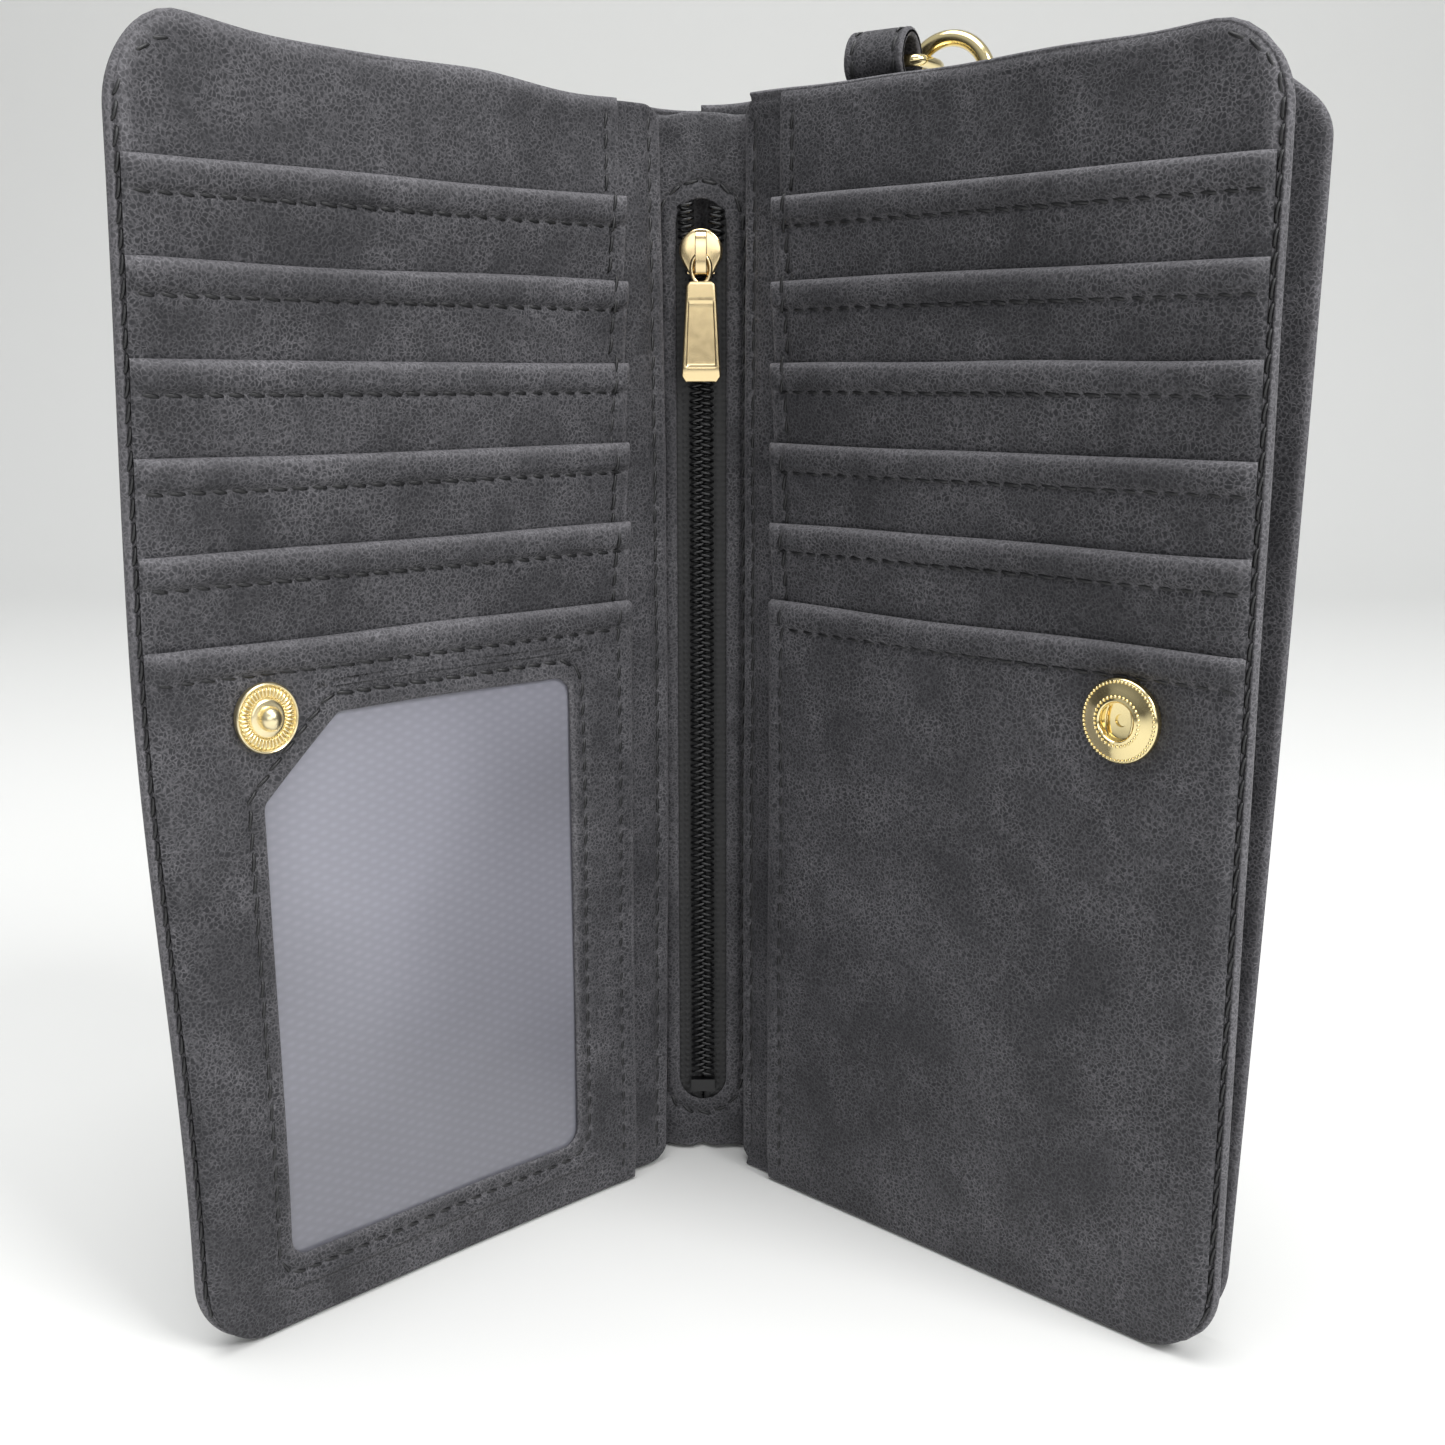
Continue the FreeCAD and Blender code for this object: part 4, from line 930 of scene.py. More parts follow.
def large_pocket(name, leaf, node, height, window, seams):
    angles = np.linspace(0, 2 * math.pi, 721)[:-1]
    centre = np.array([(WINDOW_INNER + WINDOW_OUTER) / 2, (WINDOW_LOW + WINDOW_HIGH) / 2 - 2])
    insets = (0, 0.04, 0.15, 0.35, 0.62, 1.0, 1.6, 2.4, 3.3, 4.0, 4.45, 4.9, 5.35, 5.8, 6.6, 8.0)
    rings = [ray_reach(pocket_line(inset, LARGE_TOP, LARGE_FOOT), centre, angles) for inset in insets]
    if window:
        outs = (0, 0.04, 0.15, 0.35, 0.62, 1.0, 1.5, 2.0, 2.3, 2.55, 2.8, 3.05, 3.3, 3.7, 4.3, 5.4)
        inner = [ray_reach(window_line(out), centre, angles) for out in outs]
    else:
        inner = [rings[-1] * share for share in (0.02, 0.06, 0.12, 0.2, 0.3, 0.42, 0.54, 0.66, 0.78, 0.9)]
    gap_rings = [inner[-1] + (rings[-1] - inner[-1]) * share for share in (0.25, 0.5, 0.75)]
    reach = np.array(inner + gap_rings + rings[::-1])
    u = centre[0] + reach * np.cos(angles)
    z = centre[1] + reach * np.sin(angles)
    from_window = np.full(u.shape, 9.0)
    if window:
        steps = np.array(list(outs) + [9.0] * (len(reach) - len(outs)))
        from_window = np.repeat(steps[:, None], u.shape[1], axis=1)
    edge = np.minimum(np.minimum(u - GUTTER, LARGE_TOP - z), from_window)
    corner = corner_depth(u, z, LARGE_FOOT, 2 * TALL, PANEL_OUTER, CORNER - RIM)
    roll = rolled(np.minimum(edge, corner + 0.05), ROLL)
    press = np.minimum(seam_press(u), foot_press(z))
    middle = SEAMED_FRONT + 0.25 + (LIP_FRONT + 1.0 - SEAMED_FRONT - 0.25) * press
    front = middle + (height(u, z) - middle) * roll
    back = middle + 0.35 * roll
    z = z + lip_wave(u, 5 + leaf.side) * smooth((z - 70) / (LARGE_TOP - 70))
    points = []
    for depth in (front, back):
        for i in range(u.shape[0]):
            for j in range(u.shape[1]):
                points.append(leaf.place(u[i, j], depth[i, j], z[i, j]))
    rings_count, rays = u.shape
    faces = []
    for side in range(2):
        start = side * rings_count * rays
        for i in range(rings_count - 1):
            for j in range(rays):
                k = (j + 1) % rays
                faces.append((start + i * rays + j, start + i * rays + k,
                              start + (i + 1) * rays + k, start + (i + 1) * rays + j))
        if not window:
            hub = range(start, start + rays)
            faces.append(tuple(hub))
    # Painted highlight with rubbed wear: lighter at the mouth, the gutter edge, the window's edge and
    # between stitches.
    wear_and_painted_highlight = edge_wear_and_highlight(LARGE_TOP - z, 1.3, 0.6) + edge_wear_and_highlight(u - GUTTER, 0.8, 0.4)
    wear_and_painted_highlight = wear_and_painted_highlight + edge_wear_and_highlight(from_window, 0.8, 0.35) + seam_wear_and_highlight(u, z, *seams)
    piece = mesh_object(name, points, faces, LEATHER, np.concatenate([wear_and_painted_highlight.ravel(), wear_and_painted_highlight.ravel()]))
    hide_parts(node)
    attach(piece, leaf.body)
    return piece


window_height = large_height([WINDOW_SEAM, HEM_SEAM, SPINE_SEAM, OUTER_SEAM], 91, foot_press, 0.2)
plain_height = large_height([HEM_SEAM, SPINE_SEAM, OUTER_SEAM], 92, foot_press, 0.7)
large_pocket("window_pocket_front", LEFT, "left_id_pocket", window_height, True,
             (WINDOW_SEAM, HEM_SEAM, SPINE_SEAM))
large_pocket("right_large_pocket_front", RIGHT, "right_large_pocket", plain_height, False,
             (HEM_SEAM, SPINE_SEAM))
lay_stitches(LEFT, WINDOW_SEAM, window_height)
lay_stitches(LEFT, HEM_SEAM, window_height)
lay_stitches(RIGHT, HEM_SEAM, plain_height)
print("window", WINDOW_OUTER - WINDOW_INNER, "by", WINDOW_HIGH - WINDOW_LOW, "mm")


# %% Seams that run the whole height
def spine_seam_height(large):
    """The surface under the long seam: card panel, then each pocket in turn, then the large pocket."""

    def height(u, z):
        top = float(z[0, 0])
        if top > POCKET_TOPS[0]:
            return card_panel_height(u, z)
        if top <= LARGE_TOP:
            return large(u, z)
        number = max(n for n in range(6) if top <= POCKET_TOPS[n])
        return pocket_height(POCKET_TOPS[number], POCKET_TOPS[number] - 18.0, [SPINE_SEAM, OUTER_SEAM],
                             0)(u, z)

    return height


def rim_seam():
    """The outer seam follows the leaf's outer edge and both its rounded corners."""
    radius = PANEL_OUTER + 0.1 - (LEAF_WIDTH - CORNER)
    points = []
    for middle, first in ((CORNER, -80), (TALL - CORNER, 0)):
        for k in range(9):
            angle = math.radians(first + 10 * k)
            points.append((LEAF_WIDTH - CORNER + radius * math.cos(angle),
                           middle + radius * math.sin(angle)))
    return Seam(points)


for leaf, large in ((LEFT, window_height), (RIGHT, plain_height)):
    lay_stitches(leaf, SPINE_SEAM, spine_seam_height(large))
    lay_stitches(leaf, rim_seam(), lambda u, z: u * 0 - 5.45)
print("long seams done")

# %% [markdown]
# ## The window's film
# The film lies behind the pocket's front and is held by the window's seam. It bows a little and its
# surface is frosted, so we model it as a thin sheet with slow waves and give it its own material.


# %% Film
def window_film():
    low, high = WINDOW_LOW - 2.2, WINDOW_HIGH + 2.2
    u_lines = np.linspace(WINDOW_INNER - 2.2, WINDOW_OUTER + 2.2, 48)
    z_lines = np.linspace(low, high, 66)
    u, z = np.meshgrid(u_lines, z_lines, indexing="ij")
    slant = (u - (WINDOW_OUTER - WINDOW_CUT[0] + 1.0)) / (WINDOW_CUT[0] + 1.2)
    z = low + (z - low) * (1 - np.clip(slant, 0, 1) * WINDOW_CUT[1] / (high - low))
    press = np.minimum(seam_press(u), foot_press(z))
    bow = SEAMED_FRONT + 0.4 + (LIP_FRONT + 1.5 - SEAMED_FRONT - 0.4) * press
    front = bow + soft_waves(u, z, 15, 42.0, 0.12)
    piece = two_sided("id_window_film", LEFT.place, u, z, front, front + 0.2, FILM, u * 0)
    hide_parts("id_window")
    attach(piece, "left_leaf")


window_film()
print("film in place")

# %% [markdown]
# ## The gutter and its zip
# The gutter's leather has a long slot with a turned edge. Behind it lie the two tapes, and on them the
# coil: one nylon wire per side, wound in flat loops whose heads lock between the other side's heads.
# Above the slider the rows stand apart. When the slider runs down, the loops and tapes pull back to the
# sides; here these pieces are built in one pose only, with the slider where it stands.


# %% The leather panel with its slot
ZIP_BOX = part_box("zip_panel")
ZIP_FRONT = (ZIP_BOX[0].y - FOLD_MIDDLE.y) / MM
TAPE_FRONT = (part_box("zip_tape_left")[0].y - FOLD_MIDDLE.y) / MM
SLOT_HALF = 4.5
SLOT_LOW, SLOT_HIGH = 10.4, 180.2
SLOT_SEAM_OUT = 3.1
PANEL_HALF = 9.5


def slot_line(out):
    """The slot's outline moved outwards, with the same number of points for every distance."""
    points = []
    for z in np.linspace(SLOT_LOW + SLOT_HALF, SLOT_HIGH - SLOT_HALF, 110):
        points.append((SLOT_HALF + out, z))
    for angle in np.radians(np.arange(9, 180, 9)):
        points.append(((SLOT_HALF + out) * math.cos(angle),
                       SLOT_HIGH - SLOT_HALF + (SLOT_HALF + out) * math.sin(angle)))
    for z in np.linspace(SLOT_HIGH - SLOT_HALF, SLOT_LOW + SLOT_HALF, 110):
        points.append((-SLOT_HALF - out, z))
    for angle in np.radians(np.arange(189, 360, 9)):
        points.append(((SLOT_HALF + out) * math.cos(angle),
                       SLOT_LOW + SLOT_HALF + (SLOT_HALF + out) * math.sin(angle)))
    return np.array(points)


def panel_line(inset):
    """Where the same rays meet the panel's own outline."""
    ring = slot_line(0.0)
    half, low, high = PANEL_HALF - inset, 0.8 + inset, TALL - 1.4 - inset
    line = []
    for x, z in ring:
        middle = min(max(z, SLOT_LOW + SLOT_HALF), SLOT_HIGH - SLOT_HALF)
        up = z - middle
        if abs(up) < 1e-6:
            line.append((math.copysign(half, x), z))
            continue
        edge = high if up > 0 else low
        reach = min(half / max(abs(x), 1e-6), (edge - middle) / up)
        line.append((x * reach, middle + up * reach))
    return np.array(line)


def zip_panel():
    outs = (0, 0.04, 0.15, 0.35, 0.65, 1.0, 1.6, 2.2, 2.6, 2.85, 3.1, 3.35, 3.6, 4.0)
    insets = (0, 0.04, 0.15, 0.4, 0.7)
    rings = [slot_line(out) for out in outs]
    inner, outer = rings[-1], panel_line(insets[-1])
    rings += [inner + (outer - inner) * share for share in (0.2, 0.4, 0.6, 0.8)]
    rings += [panel_line(inset) for inset in reversed(insets)]
    grid = np.array(rings)
    x, z = grid[:, :, 0], grid[:, :, 1]
    seam = Seam(list(slot_line(SLOT_SEAM_OUT)[::3]), closed=True)
    count = len(rings)
    from_slot = np.array(list(outs) + [9.0] * (count - len(outs)))[:, None] + x * 0
    from_edge = np.array([9.0] * (count - len(insets)) + list(reversed(insets)))[:, None] + x * 0
    roll = rolled(np.minimum(from_slot, from_edge), 0.9)
    far = smooth((z - SLOT_HIGH - 3.5) / 7.0) + smooth((SLOT_LOW - 3.5 - z) / 4.0)
    folds = far * (0.75 * np.cos(2 * np.pi * (x + 0.4) / 6.2) + 0.35 * np.cos(2 * np.pi * x / 3.4 + 1.0))

    def height(xx, zz):
        return ZIP_FRONT + 0.05 + seam.dip(xx, zz) - 0.5 * np.exp(-(((np.abs(xx) - 6.2) / 1.6) ** 2))

    middle = ZIP_FRONT + 0.5
    front = middle + (height(x, z) - middle) * roll - 0.15 * (1 - roll) + folds
    back = middle + 0.28 * roll + folds
    top = soft_waves(x, z * 0, 19, 9.0, 0.35) * smooth((z - SLOT_HIGH) / 12.0)
    rays = x.shape[1]
    points = []
    for depth in (front, back):
        for i in range(count):
            for j in range(rays):
                points.append(SPINE.place(x[i, j], depth[i, j], z[i, j] + top[i, j]))
    faces = []
    for start in (0, count * rays):
        for i in range(count - 1):
            for j in range(rays):
                k = (j + 1) % rays
                faces.append((start + i * rays + j, start + i * rays + k,
                              start + (i + 1) * rays + k, start + (i + 1) * rays + j))
    # Painted highlight with rubbed wear: lighter at the slot's edge, the panel's edge and between
    # stitches.
    wear_and_painted_highlight = edge_wear_and_highlight(from_slot, 0.8, 0.25) + edge_wear_and_highlight(from_edge, 0.8, 0.3) + seam.rub_and_highlight(x, z)
    piece = mesh_object("zip_panel_sheet", points, faces, LEATHER, np.concatenate([wear_and_painted_highlight.ravel()] * 2))
    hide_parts("zip_panel")
    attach(piece, "spine")
    lay_stitches(SPINE, seam, height)


zip_panel()


# %% A wing between the gutter's leather and the left inner panel
def wing(word, leaf):
    """A strip of leather that joins the gutter's side to the back of the inner panel."""
    rows = stations(2.0, TALL - 3.5, 2.4, (), 0.8)
    start = SPINE.place(leaf.side * 9.0, ZIP_FRONT + 0.6, 0)
    end = leaf.place(3.4, -3.3, 0)
    points, wear_and_painted_highlight = [], []
    shares = [k / 10 for k in range(11)]
    for depth in (0.0, 0.5):
        for share in shares:
            belly = Vector((0, 1, 0)) * 0.7 * math.sin(math.pi * share) * MM
            point = start.lerp(end, share) + belly + Vector((0, depth * MM, 0))
            for row in rows:
                ripple = 0.2 * math.sin(row / 5.3 + 3 * share) * math.sin(math.pi * share)
                points.append(point + Vector((0, ripple * MM, row * MM)))
                wear_and_painted_highlight.append(0.0)
    count = len(shares) * len(rows)
    faces = grid_faces(len(shares), len(rows)) + grid_faces(len(shares), len(rows), count)
    piece = mesh_object(f"{word}_gutter_wing", points, faces, LEATHER, wear_and_painted_highlight)
    leaf.body if leaf is LEFT else "right_cover"
    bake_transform(piece)


wing("left", LEFT)
print("gutter", PANEL_HALF * 2, "mm wide, slot", SLOT_HALF * 2, "mm")


# %% Tapes and coils
COIL_PITCH = 1.25
COIL_MIDDLE = 0.78
COIL_HALF = 1.22
COIL_DEEP = 0.6
WIRE = 0.27
SLIDER_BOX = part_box("zip_slider")
SLIDER_LOW, SLIDER_HIGH = SLIDER_BOX[0].z / MM, SLIDER_BOX[1].z / MM


def parting(z):
    """How far each row stands out from the middle line, at a height."""
    return 2.0 * smooth((z - SLIDER_LOW - 1.0) / 6.0)


def zip_tape(word, side):
    rows = np.append(np.arange(6.4, 185.2, 1.2), 185.2)
    columns = np.array([0, 0.03, 0.1, 0.3, 0.5, 0.7, 0.9, 0.97, 1.0])
    share, z = np.meshgrid(columns, rows, indexing="ij")
    start = 0.2 + parting(z)
    x = start + (7.0 - start) * share
    edge = rolled(np.minimum(x - start, 7.0 - x), 0.3)
    front = TAPE_FRONT + 0.25 - 0.23 * edge
    back = TAPE_FRONT + 0.25 + 0.2 * edge
    piece = two_sided(f"zip_tape_{word}_weave", SPINE.place, side * x, z, front, back, TAPE, x * 0)
    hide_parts(f"zip_tape_{word}")
    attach(piece, "spine")
    tuple(SPINE.place(side * 7.0, 0, 90))
    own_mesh(piece)


def zip_coil(word, side):
    """One wire wound in flat loops; its heads are thicker, where they lock between the others."""
    per_turn, around = 12, 7
    low, high = 15.6, SLOT_HIGH - 1.2
    shift = COIL_PITCH / 2 if side < 0 else 0.0
    steps = int((high - low) / COIL_PITCH * per_turn)
    centres, radii = [], []
    for k in range(steps):
        turn = 2 * math.pi * k / per_turn
        z = low + shift + COIL_PITCH * k / per_turn
        x = COIL_MIDDLE + COIL_HALF * math.cos(turn) + float(parting(np.array(z)))
        y = TAPE_FRONT - COIL_DEEP - 0.2 - COIL_DEEP * math.sin(turn)
        head = max(0.0, -math.cos(turn)) ** 3
        centres.append(SPINE.place(side * x, y, z))
        radii.append(WIRE + 0.1 * head)
    points, faces = [], []
    for k, centre in enumerate(centres):
        ahead = (centres[min(k + 1, steps - 1)] - centres[max(k - 1, 0)]).normalized()
        across = ahead.cross(Vector((0, 0, 1))).normalized()
        up = across.cross(ahead)
        for j in range(around):
            angle = 2 * math.pi * j / around
            points.append(centre + (across * math.cos(angle) + up * math.sin(angle)) * radii[k] * MM)
    for k in range(steps - 1):
        for j in range(around):
            a, b = k * around + j, k * around + (j + 1) % around
            faces.append((a, b, b + around, a + around))
    faces += [tuple(range(around)), tuple(range(len(points) - around, len(points)))]
    piece = mesh_object(f"zip_coil_{word}", points, faces, NYLON, merge=0.000001)
    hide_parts(f"zip_teeth_{word}")
    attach(piece, "spine")
    tuple(SPINE.place(side * 7.0, 0, 90))
    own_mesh(piece)


for word, side in (("left", -1), ("right", 1)):
    zip_tape(word, side)
    zip_coil(word, side)
print("coils wound at", COIL_PITCH, "mm")

# %% [markdown]
# ## The outer cover
# One strip of leather makes the whole outside: it runs from the left leaf's outer edge round the spine
# to the right cover's outer edge, and bends at the two folds. A piece can bend across one fold only, so
# it is made in three: the left half, a strip from the middle of the spine into the right fold, and the
# right cover, which laps over that strip. Each is a row of columns: first round the spine's arc, then
# along the leaf. All three are baked where they stand, so none turns with a leaf; the right cover is drawn
# hanging open at its top, with its foot leaning on the right leaf.

# %% Columns round the spine and along a leaf
SPINE_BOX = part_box("spine_cover")
SPINE_RADIUS = 11.4
SPINE_CENTRE_Y = (SPINE_BOX[1].y - FOLD_MIDDLE.y) / MM - SPINE_RADIUS
SPINE_EDGE = math.degrees(math.acos(((SPINE_BOX[0].y - FOLD_MIDDLE.y) / MM - SPINE_CENTRE_Y)
                                    / SPINE_RADIUS))


def cover_columns(leaf, back_y, thickness):
    """(point on the outer surface, inward direction, thickness, u or None) for each column, in plan."""
    columns = []
    for k in range(9):
        angle = math.radians(SPINE_EDGE * k / 8)
        outward = Vector((leaf.side * math.sin(angle), math.cos(angle), 0))
        middle = FOLD_MIDDLE + Vector((0, SPINE_CENTRE_Y * MM, 0))
        columns.append((middle + outward * SPINE_RADIUS * MM, -outward, 1.3, None))
    start = leaf.place(4.0, back_y, 0)
    last, inward = columns[-1][0].copy(), columns[-1][1].copy()
    inside = leaf.out()
    for k in range(1, 7):
        share = k / 7
        pull = 0.9 * math.sin(math.pi * share)
        point = last.lerp(start, share) + inward.lerp(inside, share) * pull * MM
        columns.append((point, inward.lerp(inside, share).normalized(), 1.3, None))
    for u in stations(4.0, LEAF_WIDTH, 2.2, (LEAF_WIDTH - 4.0, PANEL_OUTER), 1.1):
        columns.append((leaf.place(u, back_y, 0), inside, thickness(u), u))
    return columns


def cover_half(name, leaf, back_y, thickness, seam_in, seed, replaced, rim_groove=0.0, pinch=0.0,
               first=0, last=None):
    """One half of the cover, or part of it: from its column number first up to last."""
    columns = cover_columns(leaf, back_y, thickness)[first:last]
    rows = stations(0.0, TALL, 2.2, (), 1.1)
    seams = [Seam([(6.0, seam_in), (LEAF_WIDTH - CORNER, seam_in),
                   (LEAF_WIDTH - seam_in - 2.6, CORNER * 0.42), (LEAF_WIDTH - seam_in, CORNER),
                   (LEAF_WIDTH - seam_in, TALL - CORNER),
                   (LEAF_WIDTH - seam_in - 2.6, TALL - CORNER * 0.42),
                   (LEAF_WIDTH - CORNER, TALL - seam_in), (6.0, TALL - seam_in)])] if seam_in else []
    outer_points, inner_points, wear_and_painted_highlight = [], [], []
    for point, inward, thick, u in columns:
        for row in rows:
            flat_u = np.array([[u if u is not None else 0.0]])
            z = np.array([[row]])
            if u is not None:
                z = bend_corners(flat_u, z, 0.0, TALL, LEAF_WIDTH, (CORNER, CORNER))
                depth = float(corner_depth(flat_u, z, 0.0, TALL, LEAF_WIDTH, CORNER)[0, 0])
            else:
                depth = min(row, TALL - row)
            height = float(top_edge(leaf, flat_u, z)[0, 0])
            roll = float(rolled(max(depth, 0.0), 1.1))
            squeeze = pinch * (1 - float(smooth(depth / 7.5))) if u is not None else 0.0
            squeeze *= float(smooth(((u or 0.0) - 10.0) / 30.0))
            if u is not None:
                bent = leaf.place(u, back_y, height)
                point = Vector((bent.x, bent.y, 0))
            puff = float(soft_waves(flat_u, z, seed, 45.0, 0.25)[0, 0]) if u is not None else 0.0
            puff *= float(smooth(depth / 8.0)) * float(smooth(((u or 0.0) - 4.0) / 12.0))
            dip = sum(float(seam.dip(flat_u, z)[0, 0]) for seam in seams) if u is not None else 0.0
            middle = point + inward * (thick + squeeze) / 2 * MM
            outer_points.append(middle + (point + inward * (dip + puff + squeeze) * MM - middle) * roll
                                + Vector((0, 0, height * MM)))
            groove = rim_groove * math.exp(-(((depth - RIM - 0.1) / 0.5) ** 2))
            inner_points.append(middle + (point + inward * (thick - groove) * MM - middle) * roll
                                + Vector((0, 0, height * MM)))
            # Painted highlight with rubbed wear: lighter towards the cover's edges.
            wear_and_painted_highlight.append(0.5 * math.exp(-(max(depth, 0) / 1.4) ** 2))
    count = len(outer_points)
    faces = grid_faces(len(columns), len(rows)) + grid_faces(len(columns), len(rows), count)
    for start in (0,) if last is None else (0, count - len(rows)):
        for j in range(len(rows) - 1):
            faces.append((start + j, start + j + 1, count + start + j + 1, count + start + j))
    piece = mesh_object(name, outer_points + inner_points, faces, LEATHER, wear_and_painted_highlight + wear_and_painted_highlight)
    for seam in seams:
        for (u, z), (du, dz) in seam.walk():
            z = float(top_edge(leaf, u, z))
            y = back_y - SEAM_DIP * 0.8
            ahead = leaf.place(u + du, y, z + dz) - leaf.place(u, y, z)
            STITCHES["cover_seam"].append((leaf.place(u, y, z), ahead.normalized(), -leaf.out()))
    if replaced:
        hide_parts(*replaced)
    if first:
        hang(piece)
    else:
        tuple(columns[8][0])
        tuple(leaf.place(4.0, back_y, 0))
        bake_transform(piece)
    return piece


def hang(piece):
    """Bakes the piece where it stands; it moves neither with the cover nor with the right leaf."""
    top = COVER.place(50.0, 0, TWIST_TOP)
    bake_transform(piece)


cover_half("outer_cover_left", LEFT, 0.7, lambda u: 1.3 + 4.9 * float(smooth((u - 6.0) / 6.0)), 0, 3,
           ("left_cover", "spine_cover"), rim_groove=0.6, pinch=3.4)
LAP = 17
cover_half("outer_cover_spine", COVER, 0.9, lambda u: 1.5, 0, 4, (), last=LAP + 1)
cover_half("outer_cover_right", COVER, 0.9, lambda u: 1.5, 4.0, 4, ("right_cover",), first=LAP)
print("outer cover in three pieces, the right one lapped over the spine strip")

# %% [markdown]
# ### The back of the right leaf
# Behind the card panel a second sheet of leather closes the leaf and makes the bag's outside. It could be
# a mirrored copy of the panel, but it is bigger: it reaches round the stitched edge. So it is drawn as a
# sheet of its own, eased at the fold, where it would otherwise press on the cover.

# %% The back of the right leaf
def right_back():
    low, high = 0.0, TALL
    u_lines = stations(1.8, LEAF_WIDTH, 2.4, (PANEL_OUTER,), 1.1)
    z_lines = stations(low, high, 2.4, (), 1.4)
    u, z = np.meshgrid(u_lines, z_lines, indexing="ij")
    z = bend_corners(u, z, low, high, LEAF_WIDTH, (CORNER, CORNER))
    depth = corner_depth(u, z, low, high, LEAF_WIDTH, CORNER)
    roll = rolled(np.minimum(depth, u - 1.8 + 0.1), 1.1)
    rim = np.where(depth < RIM + 1.5, -5.6, -4.3) + 0.9 * np.exp(-(((depth - RIM - 0.1) / 0.5) ** 2))
    middle = -3.4 - 0.9 * (1 - smooth(depth / 7.5))
    front = middle + (rim - middle) * roll
    pinch = 1.9 * (1 - smooth(depth / 7.5))
    pinch = pinch + 0.9 * np.exp(-((u / 9.0) ** 2))
    back = middle + (-1.3 - pinch - middle - soft_waves(u, z, 61, 40.0, 0.25)) * roll
    z = top_edge(RIGHT, u, z)
    # Painted highlight with rubbed wear: lighter towards the sheet's edges.
    piece = two_sided("right_leaf_back_sheet", RIGHT.place, u, z, front, back, LEATHER,
                      edge_wear_and_highlight(depth, 1.4, 0.5))
    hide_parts("right_leaf_back")
    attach(piece, "right_leaf")


right_back()


def cover_lining():
    """Woven lining inside the right cover, set in from the leather's turned edge."""
    inset, corner = 13.0, 4.0
    low, high, reach = inset, TALL - inset, LEAF_WIDTH - inset
    u_lines = stations(2.5, reach, 2.4, (), 0.8)
    z_lines = stations(low, high, 2.4, (), 0.8)
    u, z = np.meshgrid(u_lines, z_lines, indexing="ij")
    z = bend_corners(u, z, low, high, reach, (corner, corner))
    depth = corner_depth(u, z, low, high, reach, corner)
    roll = rolled(np.minimum(depth, u - 2.5), 0.8)
    front = -0.55 - (0.5 + soft_waves(u, z, 23, 30.0, 0.2)) * roll
    piece = two_sided("right_cover_lining_sheet", COVER.place, u, z, front, front * 0 - 0.5, LINING,
                      u * 0)
    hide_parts("right_lining")
    hang(piece)


def hidden_sheet(node, leaf, back, front, reach, inset, material):
    """A board or bag between the layers; it bends with the leather around it."""
    u_lines = stations(3.2, reach, 4.0, (), 0.6)
    z_lines = stations(inset, TALL - inset, 4.0, (), 0.6)
    u, z = np.meshgrid(u_lines, z_lines, indexing="ij")
    z = bend_corners(u, z, inset, TALL - inset, reach, (8.0, 8.0))
    edge = rolled(np.minimum(np.minimum(u - 3.2, reach - u),
                             (TALL - 2 * inset) / 2 - np.abs(z - TALL / 2)), 0.5)
    middle = (front + back) / 2
    piece = two_sided(f"{node}_sheet", leaf.place, u, z, middle + (front - middle) * edge,
                      middle + (back - middle) * edge, material, u * 0)
    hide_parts(node)
    if leaf is COVER:
        hang(piece)
    else:
        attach(piece, leaf.body)


cover_lining()
hidden_sheet("left_board", LEFT, -1.6, -2.6, LEAF_WIDTH - 9.0, 9.0, LINING)
hidden_sheet("left_lining", LEFT, -2.7, -3.1, LEAF_WIDTH - 9.0, 9.0, LINING)
hidden_sheet("right_board", COVER, 0.1, -0.3, LEAF_WIDTH - 5.0, 5.0, LINING)
hidden_sheet("coin_pocket_bag", RIGHT, -2.4, -3.4, LEAF_WIDTH - 9.0, 9.0, LINING)
print("right leaf's back and the cover's lining in place")

# %% [markdown]
# ## The ring's tab
# A strip of leather is folded over the ring's straight bar and its two ends are sewn to the back of the
# right cover. The strip follows one line in plan: up the cover, round the bar and down again.


# %% Tab
RING_BAR = Vector(JOINTS["d_ring_swing"]["pos_m"])
TAB_CENTRE = 22.5
TAB_HALF = 5.5
TAB_THICK = 1.5
TAB_LOOP = 3.3


def tab_line():
    """(depth, height, outward direction) down the middle of the strip's thickness."""
    bar_y = 2.6
    bar_z = RING_BAR.z / MM
    foot = TALL - 13.6
    line = []
    for z in np.linspace(foot, bar_z - TAB_LOOP - 0.2, 12):
        line.append((bar_y - 0.8, z, (-1.0, 0.0)))
    for k in range(1, 24):
        angle = math.radians(255 - 330 * k / 24)
        stretch = 1.3 * max(0.0, math.sin(angle))
        line.append((bar_y + TAB_LOOP * math.cos(angle), bar_z + TAB_LOOP * math.sin(angle) + stretch,
                     (math.cos(angle), math.sin(angle))))
    for z in np.linspace(bar_z - TAB_LOOP - 0.2, foot, 12):
        line.append((bar_y + 0.8, z, (1.0, 0.0)))
    return line


